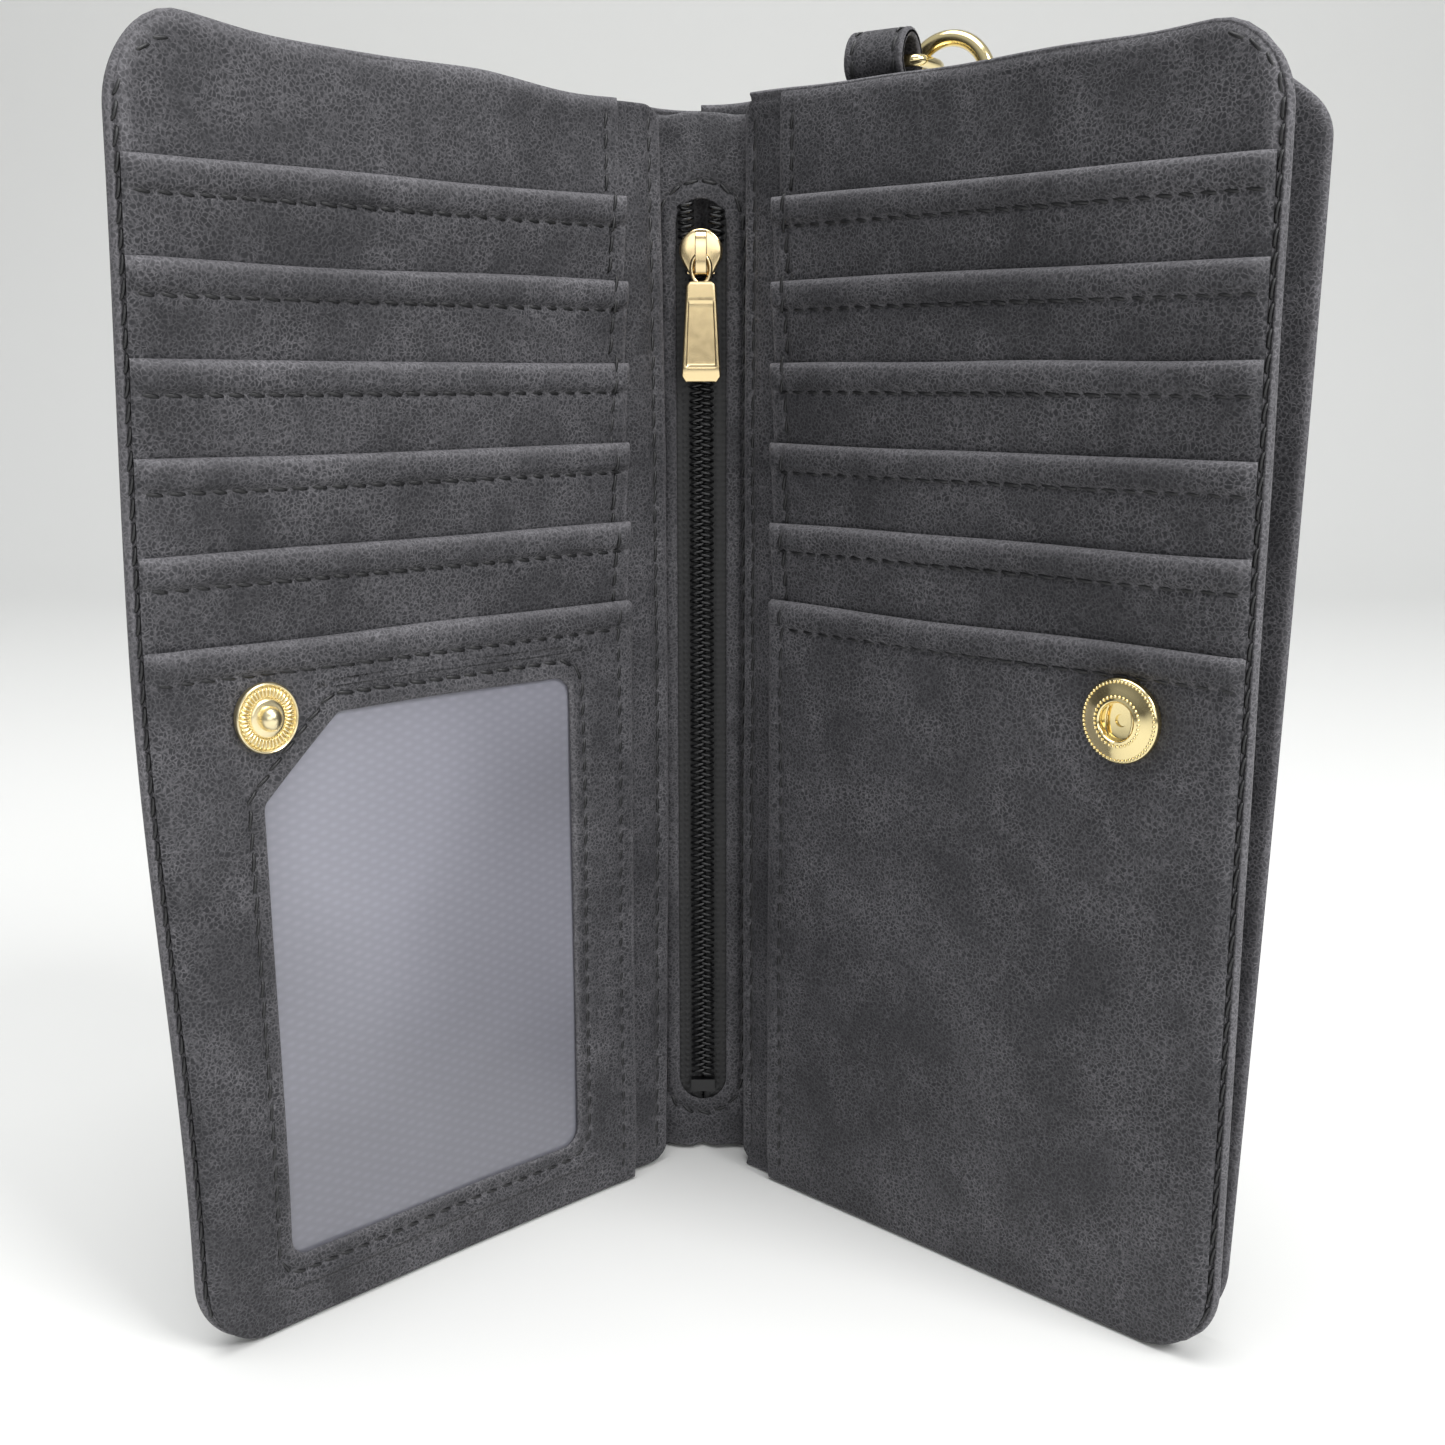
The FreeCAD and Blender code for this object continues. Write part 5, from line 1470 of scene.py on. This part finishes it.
def ring_tab():
    line = tab_line()
    seams = (TAB_HALF - 1.6, -TAB_HALF + 1.6)
    across = stations(-TAB_HALF, TAB_HALF, 0.9, seams, 0.6)
    lengths = [0.0]
    for (y0, z0, _), (y1, z1, _) in zip(line, line[1:]):
        lengths.append(lengths[-1] + math.hypot(y1 - y0, z1 - z0))
    points, wear_and_painted_highlight = [], []
    for face in (1, -1):
        for k, (y, z, (out_y, out_z)) in enumerate(line):
            end = float(rolled(min(k, len(line) - 1 - k) + 0.05, 0.9))
            for u in across:
                roll = float(rolled(min(u + TAB_HALF, TAB_HALF - u) + 0.02, 0.55)) * end
                dip = sum(0.3 * math.exp(-(((u - s) / 0.5) ** 2)) for s in seams) if face > 0 else 0.0
                lift = face * (TAB_THICK / 2 - dip) * roll
                points.append(COVER.place(TAB_CENTRE + u, y + out_y * lift, z + out_z * lift))
                # Painted highlight with rubbed wear: lighter along the strap's two edges.
                edge = min(u + TAB_HALF, TAB_HALF - u)
                wear_and_painted_highlight.append(0.45 * math.exp(-((edge / 0.7) ** 2)))
    count = len(line) * len(across)
    faces = grid_faces(len(line), len(across)) + grid_faces(len(line), len(across), count)
    piece = mesh_object("ring_tab_strap", points, faces, LEATHER, wear_and_painted_highlight)
    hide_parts("ring_tab")
    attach(piece, "right_cover")
    total = lengths[-1]
    for seam in seams:
        for n in range(int((total - 2.0) / PITCH)):
            target = 1.6 + n * PITCH
            k = max(i for i in range(len(line) - 1) if lengths[i] <= target)
            (y0, z0, out0), (y1, z1, out1) = line[k], line[k + 1]
            share = (target - lengths[k]) / (lengths[k + 1] - lengths[k])
            y, z = y0 + (y1 - y0) * share, z0 + (z1 - z0) * share
            out = (out0[0] + (out1[0] - out0[0]) * share, out0[1] + (out1[1] - out0[1]) * share)
            lift = TAB_THICK / 2 - 0.3
            here = COVER.place(TAB_CENTRE + seam, y + out[0] * lift, z + out[1] * lift)
            there = COVER.place(TAB_CENTRE + seam, y1 + out1[0] * lift, z1 + out1[1] * lift)
            before = COVER.place(TAB_CENTRE + seam, y0 + out0[0] * lift, z0 + out0[1] * lift)
            outward = COVER.place(0, out[0], out[1]) - COVER.place(0, 0, 0)
            STITCHES["right_cover"].append((here, (there - before).normalized(), outward.normalized()))


ring_tab()
print("tab folded round the ring's bar")

# %% [markdown]
# ## Thread
# Each stitch is a short thick strand that starts in one needle hole and ends in the next, so its ends
# dive into the leather. All stitches of one body are joined into one mesh, since they never move
# against each other.

# %% Laying the stitches
STITCH_LONG = 3.05
STITCH_WIDE = 0.58
STITCH_HIGH = 0.4
STITCH_LEAN = 0.16


def stitch_points(middle, ahead, out, draw):
    """Rings of points along one stitch; the first and last rings lie under the surface."""
    across = ahead.cross(out).normalized()
    lean = STITCH_LEAN + draw.uniform(-0.05, 0.05)
    ahead = (ahead + across * lean).normalized()
    length = STITCH_LONG * draw.uniform(0.93, 1.06)
    rings = []
    for share, size, rise in ((-0.5, 0.35, -0.34), (-0.38, 0.9, -0.04), (-0.15, 1.0, 0.1),
                              (0.15, 1.0, 0.1), (0.38, 0.9, -0.04), (0.5, 0.35, -0.34)):
        centre = middle + ahead * share * length * MM + out * rise * MM
        for k in range(8):
            angle = 2 * math.pi * k / 8
            rings.append(centre + across * math.cos(angle) * STITCH_WIDE / 2 * size * MM
                         + out * math.sin(angle) * STITCH_HIGH / 2 * size * MM)
    return rings


def lay_thread(body, stitches):
    draw = random.Random(len(stitches))
    points, faces = [], []
    for middle, ahead, out in stitches:
        start = len(points)
        points += stitch_points(middle, ahead, out, draw)
        for ring in range(5):
            for k in range(8):
                a, b = start + ring * 8 + k, start + ring * 8 + (k + 1) % 8
                faces.append((a, b, b + 8, a + 8))
        faces.append(tuple(start + k for k in range(8)))
        faces.append(tuple(start + 40 + k for k in range(8)))
    piece = mesh_object(f"{body}_stitches", points, faces, THREAD, merge=0.000001)
    if body == "cover_seam":
        hang(piece)
    elif body.endswith("inner_seam"):
        stay_at_gutter(piece, LEFT if body.startswith("left") else RIGHT)
    else:
        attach(piece, body)


for body, stitches in STITCHES.items():
    if stitches:
        lay_thread(body, stitches)
print("stitches laid:", sum(len(s) for s in STITCHES.values()))

# %% [markdown]
# ## The metal pieces
# All of them are small, and they catch the eye, so each gets its own form over its solid. Three tools
# make them: a stack of shrinking outlines for plates, a round wire along a path, and a turned disc whose
# height can also change round its centre, for the press stud's ribs.


# %% Tools for metal
class Metal:
    """Collects the points and faces of one metal piece; place turns millimetres into the scene."""

    def __init__(self, place):
        self.place = place
        self.points = []
        self.faces = []

    def stack(self, outline, layers):
        """Closes a plate from (y, inset) layers of an outline given as (x, z) corners."""
        start, count = len(self.points), len(outline)
        middle = (sum(p[0] for p in outline) / count, sum(p[1] for p in outline) / count)
        for y, inset in layers:
            for x, z in outline:
                reach = math.hypot(x - middle[0], z - middle[1])
                keep = max(1 - inset / reach, 0.02)
                self.points.append(self.place(middle[0] + (x - middle[0]) * keep, y,
                                              middle[1] + (z - middle[1]) * keep))
        for k in range(len(layers) - 1):
            self.belt(start + k * count, count)
        self.faces.append(tuple(range(start, start + count)))
        self.faces.append(tuple(range(start + (len(layers) - 1) * count, start + len(layers) * count)))

    def belt(self, first, count):
        for j in range(count):
            a, b = first + j, first + (j + 1) % count
            self.faces.append((a, b, b + count, a + count))

    def wire(self, path, radius, plane, around=14, closed=True):
        """A round wire along a path of (x, y, z) points that lie in one plane."""
        spots = [self.place(*p) for p in path]
        start, count = len(self.points), len(spots)
        for k, spot in enumerate(spots):
            before = spots[k - 1] if closed or k else spot
            after = spots[(k + 1) % count] if closed or k < count - 1 else spot
            across = (after - before).normalized().cross(plane)
            for j in range(around):
                angle = 2 * math.pi * j / around
                turned = across * math.cos(angle) + plane * math.sin(angle)
                self.points.append(spot + turned * radius * MM)
            if k:
                self.belt(start + (k - 1) * around, around)
        if closed:
            last = start + (count - 1) * around
            for j in range(around):
                a, b = last + j, last + (j + 1) % around
                self.faces.append((a, b, start + (j + 1) % around, start + j))
        else:
            self.faces.append(tuple(range(start, start + around)))
            self.faces.append(tuple(range(len(self.points) - around, len(self.points))))

    def disc(self, centre, profile, around):
        """A turned piece from (radius, height function of the angle) rings round its axis."""
        start = len(self.points)
        for radius, height in profile:
            for j in range(around):
                angle = 2 * math.pi * j / around
                self.points.append(self.place(centre[0] + radius * math.cos(angle), height(angle),
                                              centre[1] + radius * math.sin(angle)))
        for k in range(len(profile) - 1):
            self.belt(start + k * around, around)
        self.faces.append(tuple(range(start, start + around)))
        self.faces.append(tuple(range(len(self.points) - around, len(self.points))))

    def bead(self, x, y, z, radius):
        levels = [(radius * math.sin(math.radians(a)), y - radius * math.cos(math.radians(a)))
                  for a in (12, 42, 72, 100)]
        self.disc((x, z), [(r, lambda angle, h=h: h) for r, h in levels], 8)

    def finish(self, name, node, material, body, crisp=38.0):
        piece = mesh_object(name, self.points, self.faces, material, merge=0.000002)
        piece.data.set_sharp_from_angle(angle=math.radians(crisp))
        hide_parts(node)
        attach(piece, body)
        return piece


slots = {part["node"]: part["material_slot"] for part in record["subparts"]}
print("tools for metal ready")

# %% [markdown]
# ### Slider and pull
# The slider's front plate has a round head and a narrow waist. A strap stands on it as a bridge, and
# the pull's oval eye hangs in the bridge. The pull itself widens towards its foot, with a sunk field
# that real ones use for a size mark; here it stays bare, in the same gold as the rest.

# %% Slider and pull
SLIDER_LOW, SLIDER_HIGH, HEAD_RADIUS = 167.0, 175.0, 3.83
BRIDGE_FRONT, PLATE_FRONT, PLATE_BACK = -2.755, -0.155, 0.845
PULL_MIDDLE = -1.005
PULL_HALF_THICK = 0.5


def slider_outline():
    low = [(-2.35, SLIDER_LOW + 0.5), (-1.9, SLIDER_LOW), (1.9, SLIDER_LOW), (2.35, SLIDER_LOW + 0.5)]
    head = []
    for k in range(33):
        angle = math.radians(-28 + 236 * k / 32)
        head.append((HEAD_RADIUS * math.cos(angle),
                     SLIDER_HIGH - HEAD_RADIUS + HEAD_RADIUS * math.sin(angle)))
    return low + head


def zip_slider():
    metal = Metal(SPINE.place)
    metal.stack(slider_outline(), [(PLATE_BACK, 0), (PLATE_FRONT + 0.45, 0), (PLATE_FRONT + 0.2, 0.08),
                                   (PLATE_FRONT + 0.05, 0.3), (PLATE_FRONT - 0.02, 0.6),
                                   (PLATE_FRONT - 0.1, 1.6), (PLATE_FRONT - 0.14, 2.6)])
    rear = TAPE_FRONT + 0.5 + 0.15
    metal.stack(slider_outline(), [(rear, 0), (rear + 0.8, 0), (rear + 1.0, 0.25)])
    metal.stack([(-0.9, 174.4), (0, 171.1), (0.9, 174.4)], [(PLATE_BACK - 0.2, 0), (rear + 0.2, 0)])
    for side in (-1, 1):
        rail = [(side * 1.95, 167.2), (side * 2.4, 167.2), (side * 2.4, 171.6), (side * 1.95, 171.6)]
        metal.stack(rail, [(PLATE_BACK - 0.1, 0), (PLATE_BACK + 0.9, 0)])
    hoop = [(PLATE_FRONT + 0.3, 174.55), (-1.2, 174.5), (-2.0, 174.2), (-2.5, 173.6), (-2.7, 172.9),
            (BRIDGE_FRONT, 171.5), (BRIDGE_FRONT, 169.4), (-2.7, 168.1), (-2.45, 167.4), (-1.9, 167.0),
            (-1.1, 166.85), (PLATE_FRONT + 0.3, 166.85)]
    start = len(metal.points)
    section = [(-1.02, 0.12), (-0.9, 0.0), (0.9, 0.0), (1.02, 0.12), (1.02, 0.75), (0.85, 0.88),
               (-0.85, 0.88), (-1.02, 0.75)]
    for k, (y, z) in enumerate(hoop):
        before, after = hoop[max(k - 1, 0)], hoop[min(k + 1, len(hoop) - 1)]
        dy, dz = after[0] - before[0], after[1] - before[1]
        size = math.hypot(dy, dz)
        inward = (-dz / size, dy / size)
        for x, deep in section:
            metal.points.append(metal.place(x, y + inward[0] * deep, z + inward[1] * deep))
        if k:
            metal.belt(start + (k - 1) * len(section), len(section))
    metal.finish("zip_slider_body", "zip_slider", GOLD, "zip_slider")


PULL_LOW = 148.4
PULL_HIGH = 165.9
PULL_NECK = 165.2


def tag_half(z):
    """Half the pull's width at a height: it widens to its foot, where both corners are cut."""
    half = 2.65 + 0.85 * (PULL_NECK - z) / 15.8
    return half - max(0.0, 149.4 - z) * 0.75 - 0.9 * max(0.0, (z - 164.9) / 1.0) ** 2


def zip_pull():
    metal = Metal(SPINE.place)
    z_lines = [PULL_LOW, 148.55, 148.8, 149.1, 149.4, 149.9, 150.3, 150.9, 151.0, 151.25]
    z_lines += list(np.linspace(151.6, 161.9, 16)) + [162.2, 162.45, 162.55, 163.2, 164.2, 164.9, 165.3,
                                                      165.6, 165.8, PULL_HIGH]
    shares = [-1, -0.985, -0.955, -0.91, -0.8, -0.77, -0.74, -0.5, -0.2, 0.2, 0.5, 0.74, 0.77, 0.8, 0.91,
              0.955, 0.985, 1]
    start = len(metal.points)
    for side in (1, -1):
        for z in z_lines:
            half = tag_half(z)
            for share in shares:
                edge = min(half * (1 - abs(share)), (z - PULL_LOW) * 1.2, (PULL_HIGH - z) * 1.4)
                roll = float(rolled(max(edge, 0.0), 0.28))
                sunk = 0.2 * float(smooth((z - 150.95) / 0.35) * smooth((162.5 - z) / 0.35)
                                   * smooth((0.785 - abs(share)) / 0.05)) if side > 0 else 0.0
                slope = 0.32 * max(0.0, (150.3 - z) / 1.9) if side > 0 else 0.0
                y = PULL_MIDDLE - side * (PULL_HALF_THICK * roll - sunk - slope * roll)
                metal.points.append(metal.place(half * share, y, z))
    count = len(shares) * len(z_lines)
    metal.faces += grid_faces(len(z_lines), len(shares), start)
    metal.faces += grid_faces(len(z_lines), len(shares), start + count)
    eye = [(1.62 * math.cos(a), PULL_MIDDLE, 167.9 + 2.52 * math.sin(a))
           for a in np.linspace(0, 2 * math.pi, 49)[:-1]]
    metal.wire(eye, 0.45, Vector((0, 1, 0)))
    metal.finish("zip_pull_charm", "zip_pull_tab", GOLD, "zip_pull")


zip_slider()
zip_pull()
print("slider head", 2 * HEAD_RADIUS, "mm wide")

# %% [markdown]
# ### Press stud and rings
# The stud is a pressed cap with forty ribs round a ball. Its socket has a domed ring between two rows of
# fine beads, round a hole with a spring. The strap's two rings are bent from round wire.

# %% Press stud, socket and rings
RIBS = 40
RIB_HIGH = 0.42


def level(height):
    return lambda angle: height


def rib(height, share):
    """A ring of the ribbed part: rounded ribs that stand up from a narrow groove between them."""
    return lambda angle: height - share * RIB_HIGH * (0.5 + 0.5 * math.cos(RIBS * angle)) ** 0.5


def press_stud():
    metal = Metal(LEFT.place)
    ball = [(1.95 * math.sin(math.radians(a)), level(-8.85 - 1.9 * math.cos(math.radians(a))))
            for a in range(2, 105, 6)]
    collar = [(1.75, level(-8.55)), (2.0, level(-8.5)), (2.5, level(-8.5)), (2.85, level(-8.42)),
              (3.0, level(-8.25)), (3.06, level(-8.0))]
    ribs = [(3.15, rib(-7.95, 0)), (3.25, rib(-7.98, 0.7)), (3.45, rib(-8.0, 1)), (4.0, rib(-8.0, 1)),
            (4.5, rib(-7.98, 1)), (4.68, rib(-7.95, 0.6)), (4.78, rib(-7.92, 0))]
    rim = [(4.9, level(-8.1)), (5.05, level(-8.4)), (5.2, level(-8.48)), (5.36, level(-8.38)),
           (5.48, level(-8.1)), (5.5, level(-7.8)), (5.4, level(-7.2))]
    metal.disc((SNAP_U, SNAP_Z), ball + collar + ribs + rim, RIBS * 6)
    metal.finish("press_stud_cap", "snap_stud", SATIN_GOLD, "left_leaf", 50.0)


def press_socket():
    metal = Metal(RIGHT.place)
    profile = [(0.1, -7.5), (0.9, -7.5), (1.0, -7.9), (2.2, -7.95), (2.7, -8.0), (2.82, -8.6),
               (2.86, -9.1), (2.95, -9.38), (3.15, -9.52), (3.35, -9.46), (3.5, -9.34),
               (3.95, -9.3), (4.1, -9.26), (4.8, -9.08), (5.5, -8.84), (5.75, -8.8), (6.2, -8.66),
               (6.4, -8.5), (6.52, -8.2), (6.5, -7.8), (6.4, -7.2)]
    metal.disc((SNAP_U, SNAP_Z), [(r, level(y)) for r, y in profile], 96)
    for count, radius, height, size in ((34, 3.78, -9.32, 0.26), (58, 5.98, -8.74, 0.27)):
        for k in range(count):
            angle = 2 * math.pi * k / count
            metal.bead(SNAP_U + radius * math.cos(angle), height, SNAP_Z + radius * math.sin(angle), size)
    for side in (-1, 1):
        spring = [(SNAP_U + side * (2.3 - 0.5 * t * t), -8.5, SNAP_Z + 2.2 * t)
                  for t in (-1, -0.6, -0.2, 0.2, 0.6, 1)]
        metal.wire(spring, 0.2, RIGHT.out(), 8, closed=False)
    metal.finish("press_stud_socket", "snap_socket", BRIGHT_GOLD, "right_leaf", 40.0)


RING_Z, BAR_BACK = 200.6, 2.6
RING_HALF, RING_DEEP, RING_TURN = 6.7, 12.0, 1.8
CLIP_PLACE = (31.2, 9.5, 197.2)
CLIP_RADIUS = 7.5


def arc(centre, radius, start, end, steps):
    return [(centre[0] + radius * math.cos(math.radians(start + (end - start) * k / steps)),
             centre[1] + radius * math.sin(math.radians(start + (end - start) * k / steps)))
            for k in range(steps + 1)]


def strap_rings():
    inner = RING_HALF - RING_TURN
    straight = RING_DEEP - RING_HALF
    bow = (arc((-inner, RING_TURN), RING_TURN, 180, 270, 8)
           + arc((inner, RING_TURN), RING_TURN, 270, 360, 8)
           + arc((0, straight), RING_HALF, 0, 180, 40))
    metal = Metal(COVER.place)
    metal.wire([(TAB_CENTRE + x, BAR_BACK + y, RING_Z) for x, y in bow], 1.0, Vector((0, 0, 1)))
    metal.finish("d_ring_wire", "d_ring", BRIGHT_GOLD, "d_ring")
    metal = Metal(COVER.place)
    loop = [(CLIP_PLACE[0] + x, CLIP_PLACE[1], CLIP_PLACE[2] + z)
            for x, z in arc((0, 0), CLIP_RADIUS, 0, 360, 64)]
    metal.wire(loop[:-1], 1.36, COVER.out())
    metal.finish("clip_ring_wire", "clip_ring", BRIGHT_GOLD, "clip_ring")


press_stud()
press_socket()
strap_rings()
print("ribs on the stud", RIBS)

# %% [markdown]
# ## Materials of the solid pieces
# Metal pieces, boards and tapes keep the frame's own shape and only get their finish.

# %% Finishes for the frame's pieces
FINISHES = {"brass": GOLD, "window_film": FILM, "zip_nylon": NYLON, "zip_tape": TAPE, "lining": LINING,
            "leather": LEATHER}
for node, thing in frame["nodes"].items():
    finish = FINISHES.get(slots.get(node), LINING)
    thing.data.materials.clear()
    thing.data.materials.append(finish)
for node in ("snap_stud", "snap_socket", "snap_stud_rivet", "snap_socket_rivet", "clip_ring", "d_ring"):
    frame["nodes"][node].data.materials[0] = BRIGHT_GOLD
soft = frame["nodes"]["zip_bottom_stop"].modifiers.new("soft_edges", "BEVEL")
soft.width = 0.3 * MM
soft.segments = 3
print("finishes on", len(frame["nodes"]), "pieces")

# %% [markdown]
# ## Camera, floor and light
# The wallet stands on a pale floor under broad soft lamps. The camera stands a little above the
# wallet's middle and looks slightly down.


# %% Studio
def soft_lamp(name, place, target, size, power, tint="#ffffff"):
    lamp = bpy.data.lights.new(name, "AREA")
    lamp.shape = "RECTANGLE"
    lamp.size, lamp.size_y = size
    lamp.energy = power
    lamp.color = colour(tint)[:3]
    thing = bpy.data.objects.new(name, lamp)
    thing.location = place
    thing.rotation_euler = (Vector(target) - Vector(place)).to_track_quat("-Z", "Y").to_euler()
    bpy.context.scene.collection.objects.link(thing)


def pale_stage():
    material, shader = new_material("pale_paper", "#dfdfdd", 0.8)
    where = add(material, "ShaderNodeTexCoord").outputs["Object"]
    tooth = add(material, "ShaderNodeTexNoise", {"Vector": where}, Scale=per_metre(2.0), Detail=3.0)
    bump = add(material, "ShaderNodeBump", {"Height": tooth.outputs["Fac"]}, Strength=0.05,
               Distance=0.05 * MM)
    material.node_tree.links.new(bump.outputs["Normal"], shader.inputs["Normal"])
    section = [(-2.5, 0.0), (0.9, 0.0)]
    section += [(0.9 + 0.4 * math.sin(math.radians(a)), 0.4 - 0.4 * math.cos(math.radians(a)))
                for a in range(10, 91, 10)]
    section.append((1.3, 2.2))
    points = [(x, y, z) for x in (-2.5, 2.5) for y, z in section]
    faces = [(i, i + 1, i + 1 + len(section), i + len(section)) for i in range(len(section) - 1)]
    floor = mesh_object("paper_sweep", points, faces, material)


pale_stage()
soft_lamp("key_lamp", (0.75, -0.65, 0.95), (-0.02, 0.0, 0.12), (0.5, 0.5), 11.5)
soft_lamp("ceiling_lamp", (-0.1, -0.1, 1.15), (0, 0.0, 0.08), (1.0, 0.8), 11)
soft_lamp("front_lamp", (0.2, -1.4, 0.5), (0, 0.0, 0.1), (1.2, 0.5), 4)
world = bpy.data.worlds.new("studio")
bpy.context.scene.world = world
world.use_nodes = True
sky = world.node_tree
up = sky.nodes.new("ShaderNodeTexCoord")
split = sky.nodes.new("ShaderNodeSeparateXYZ")
fade = sky.nodes.new("ShaderNodeValToRGB")
sky.links.new(up.outputs["Generated"], split.inputs[0])
sky.links.new(split.outputs["Z"], fade.inputs["Fac"])
fade.color_ramp.elements[0].position = 0.0
fade.color_ramp.elements[0].color = colour("#626161")
fade.color_ramp.elements[1].position = 0.5
fade.color_ramp.elements[1].color = colour("#eef1f4")
sky.links.new(fade.outputs["Color"], sky.nodes["Background"].inputs["Color"])
sky.nodes["Background"].inputs["Strength"].default_value = 0.6

camera_data = bpy.data.cameras.new("camera")
camera_data.lens = 42.6
camera_data.sensor_width = 36.0
camera_data.clip_start = 0.01
camera = bpy.data.objects.new("camera", camera_data)
camera.location = FOLD_MIDDLE + Vector((3.8, -312.15, 149.7)) * MM
camera.rotation_euler = (math.radians(90 - 11.5), 0, 0)
bpy.context.scene.collection.objects.link(camera)
bpy.context.scene.camera = camera
bpy.context.scene.view_settings.view_transform = "Standard"
print("camera", [round(c / MM, 1) for c in camera.location], "mm")
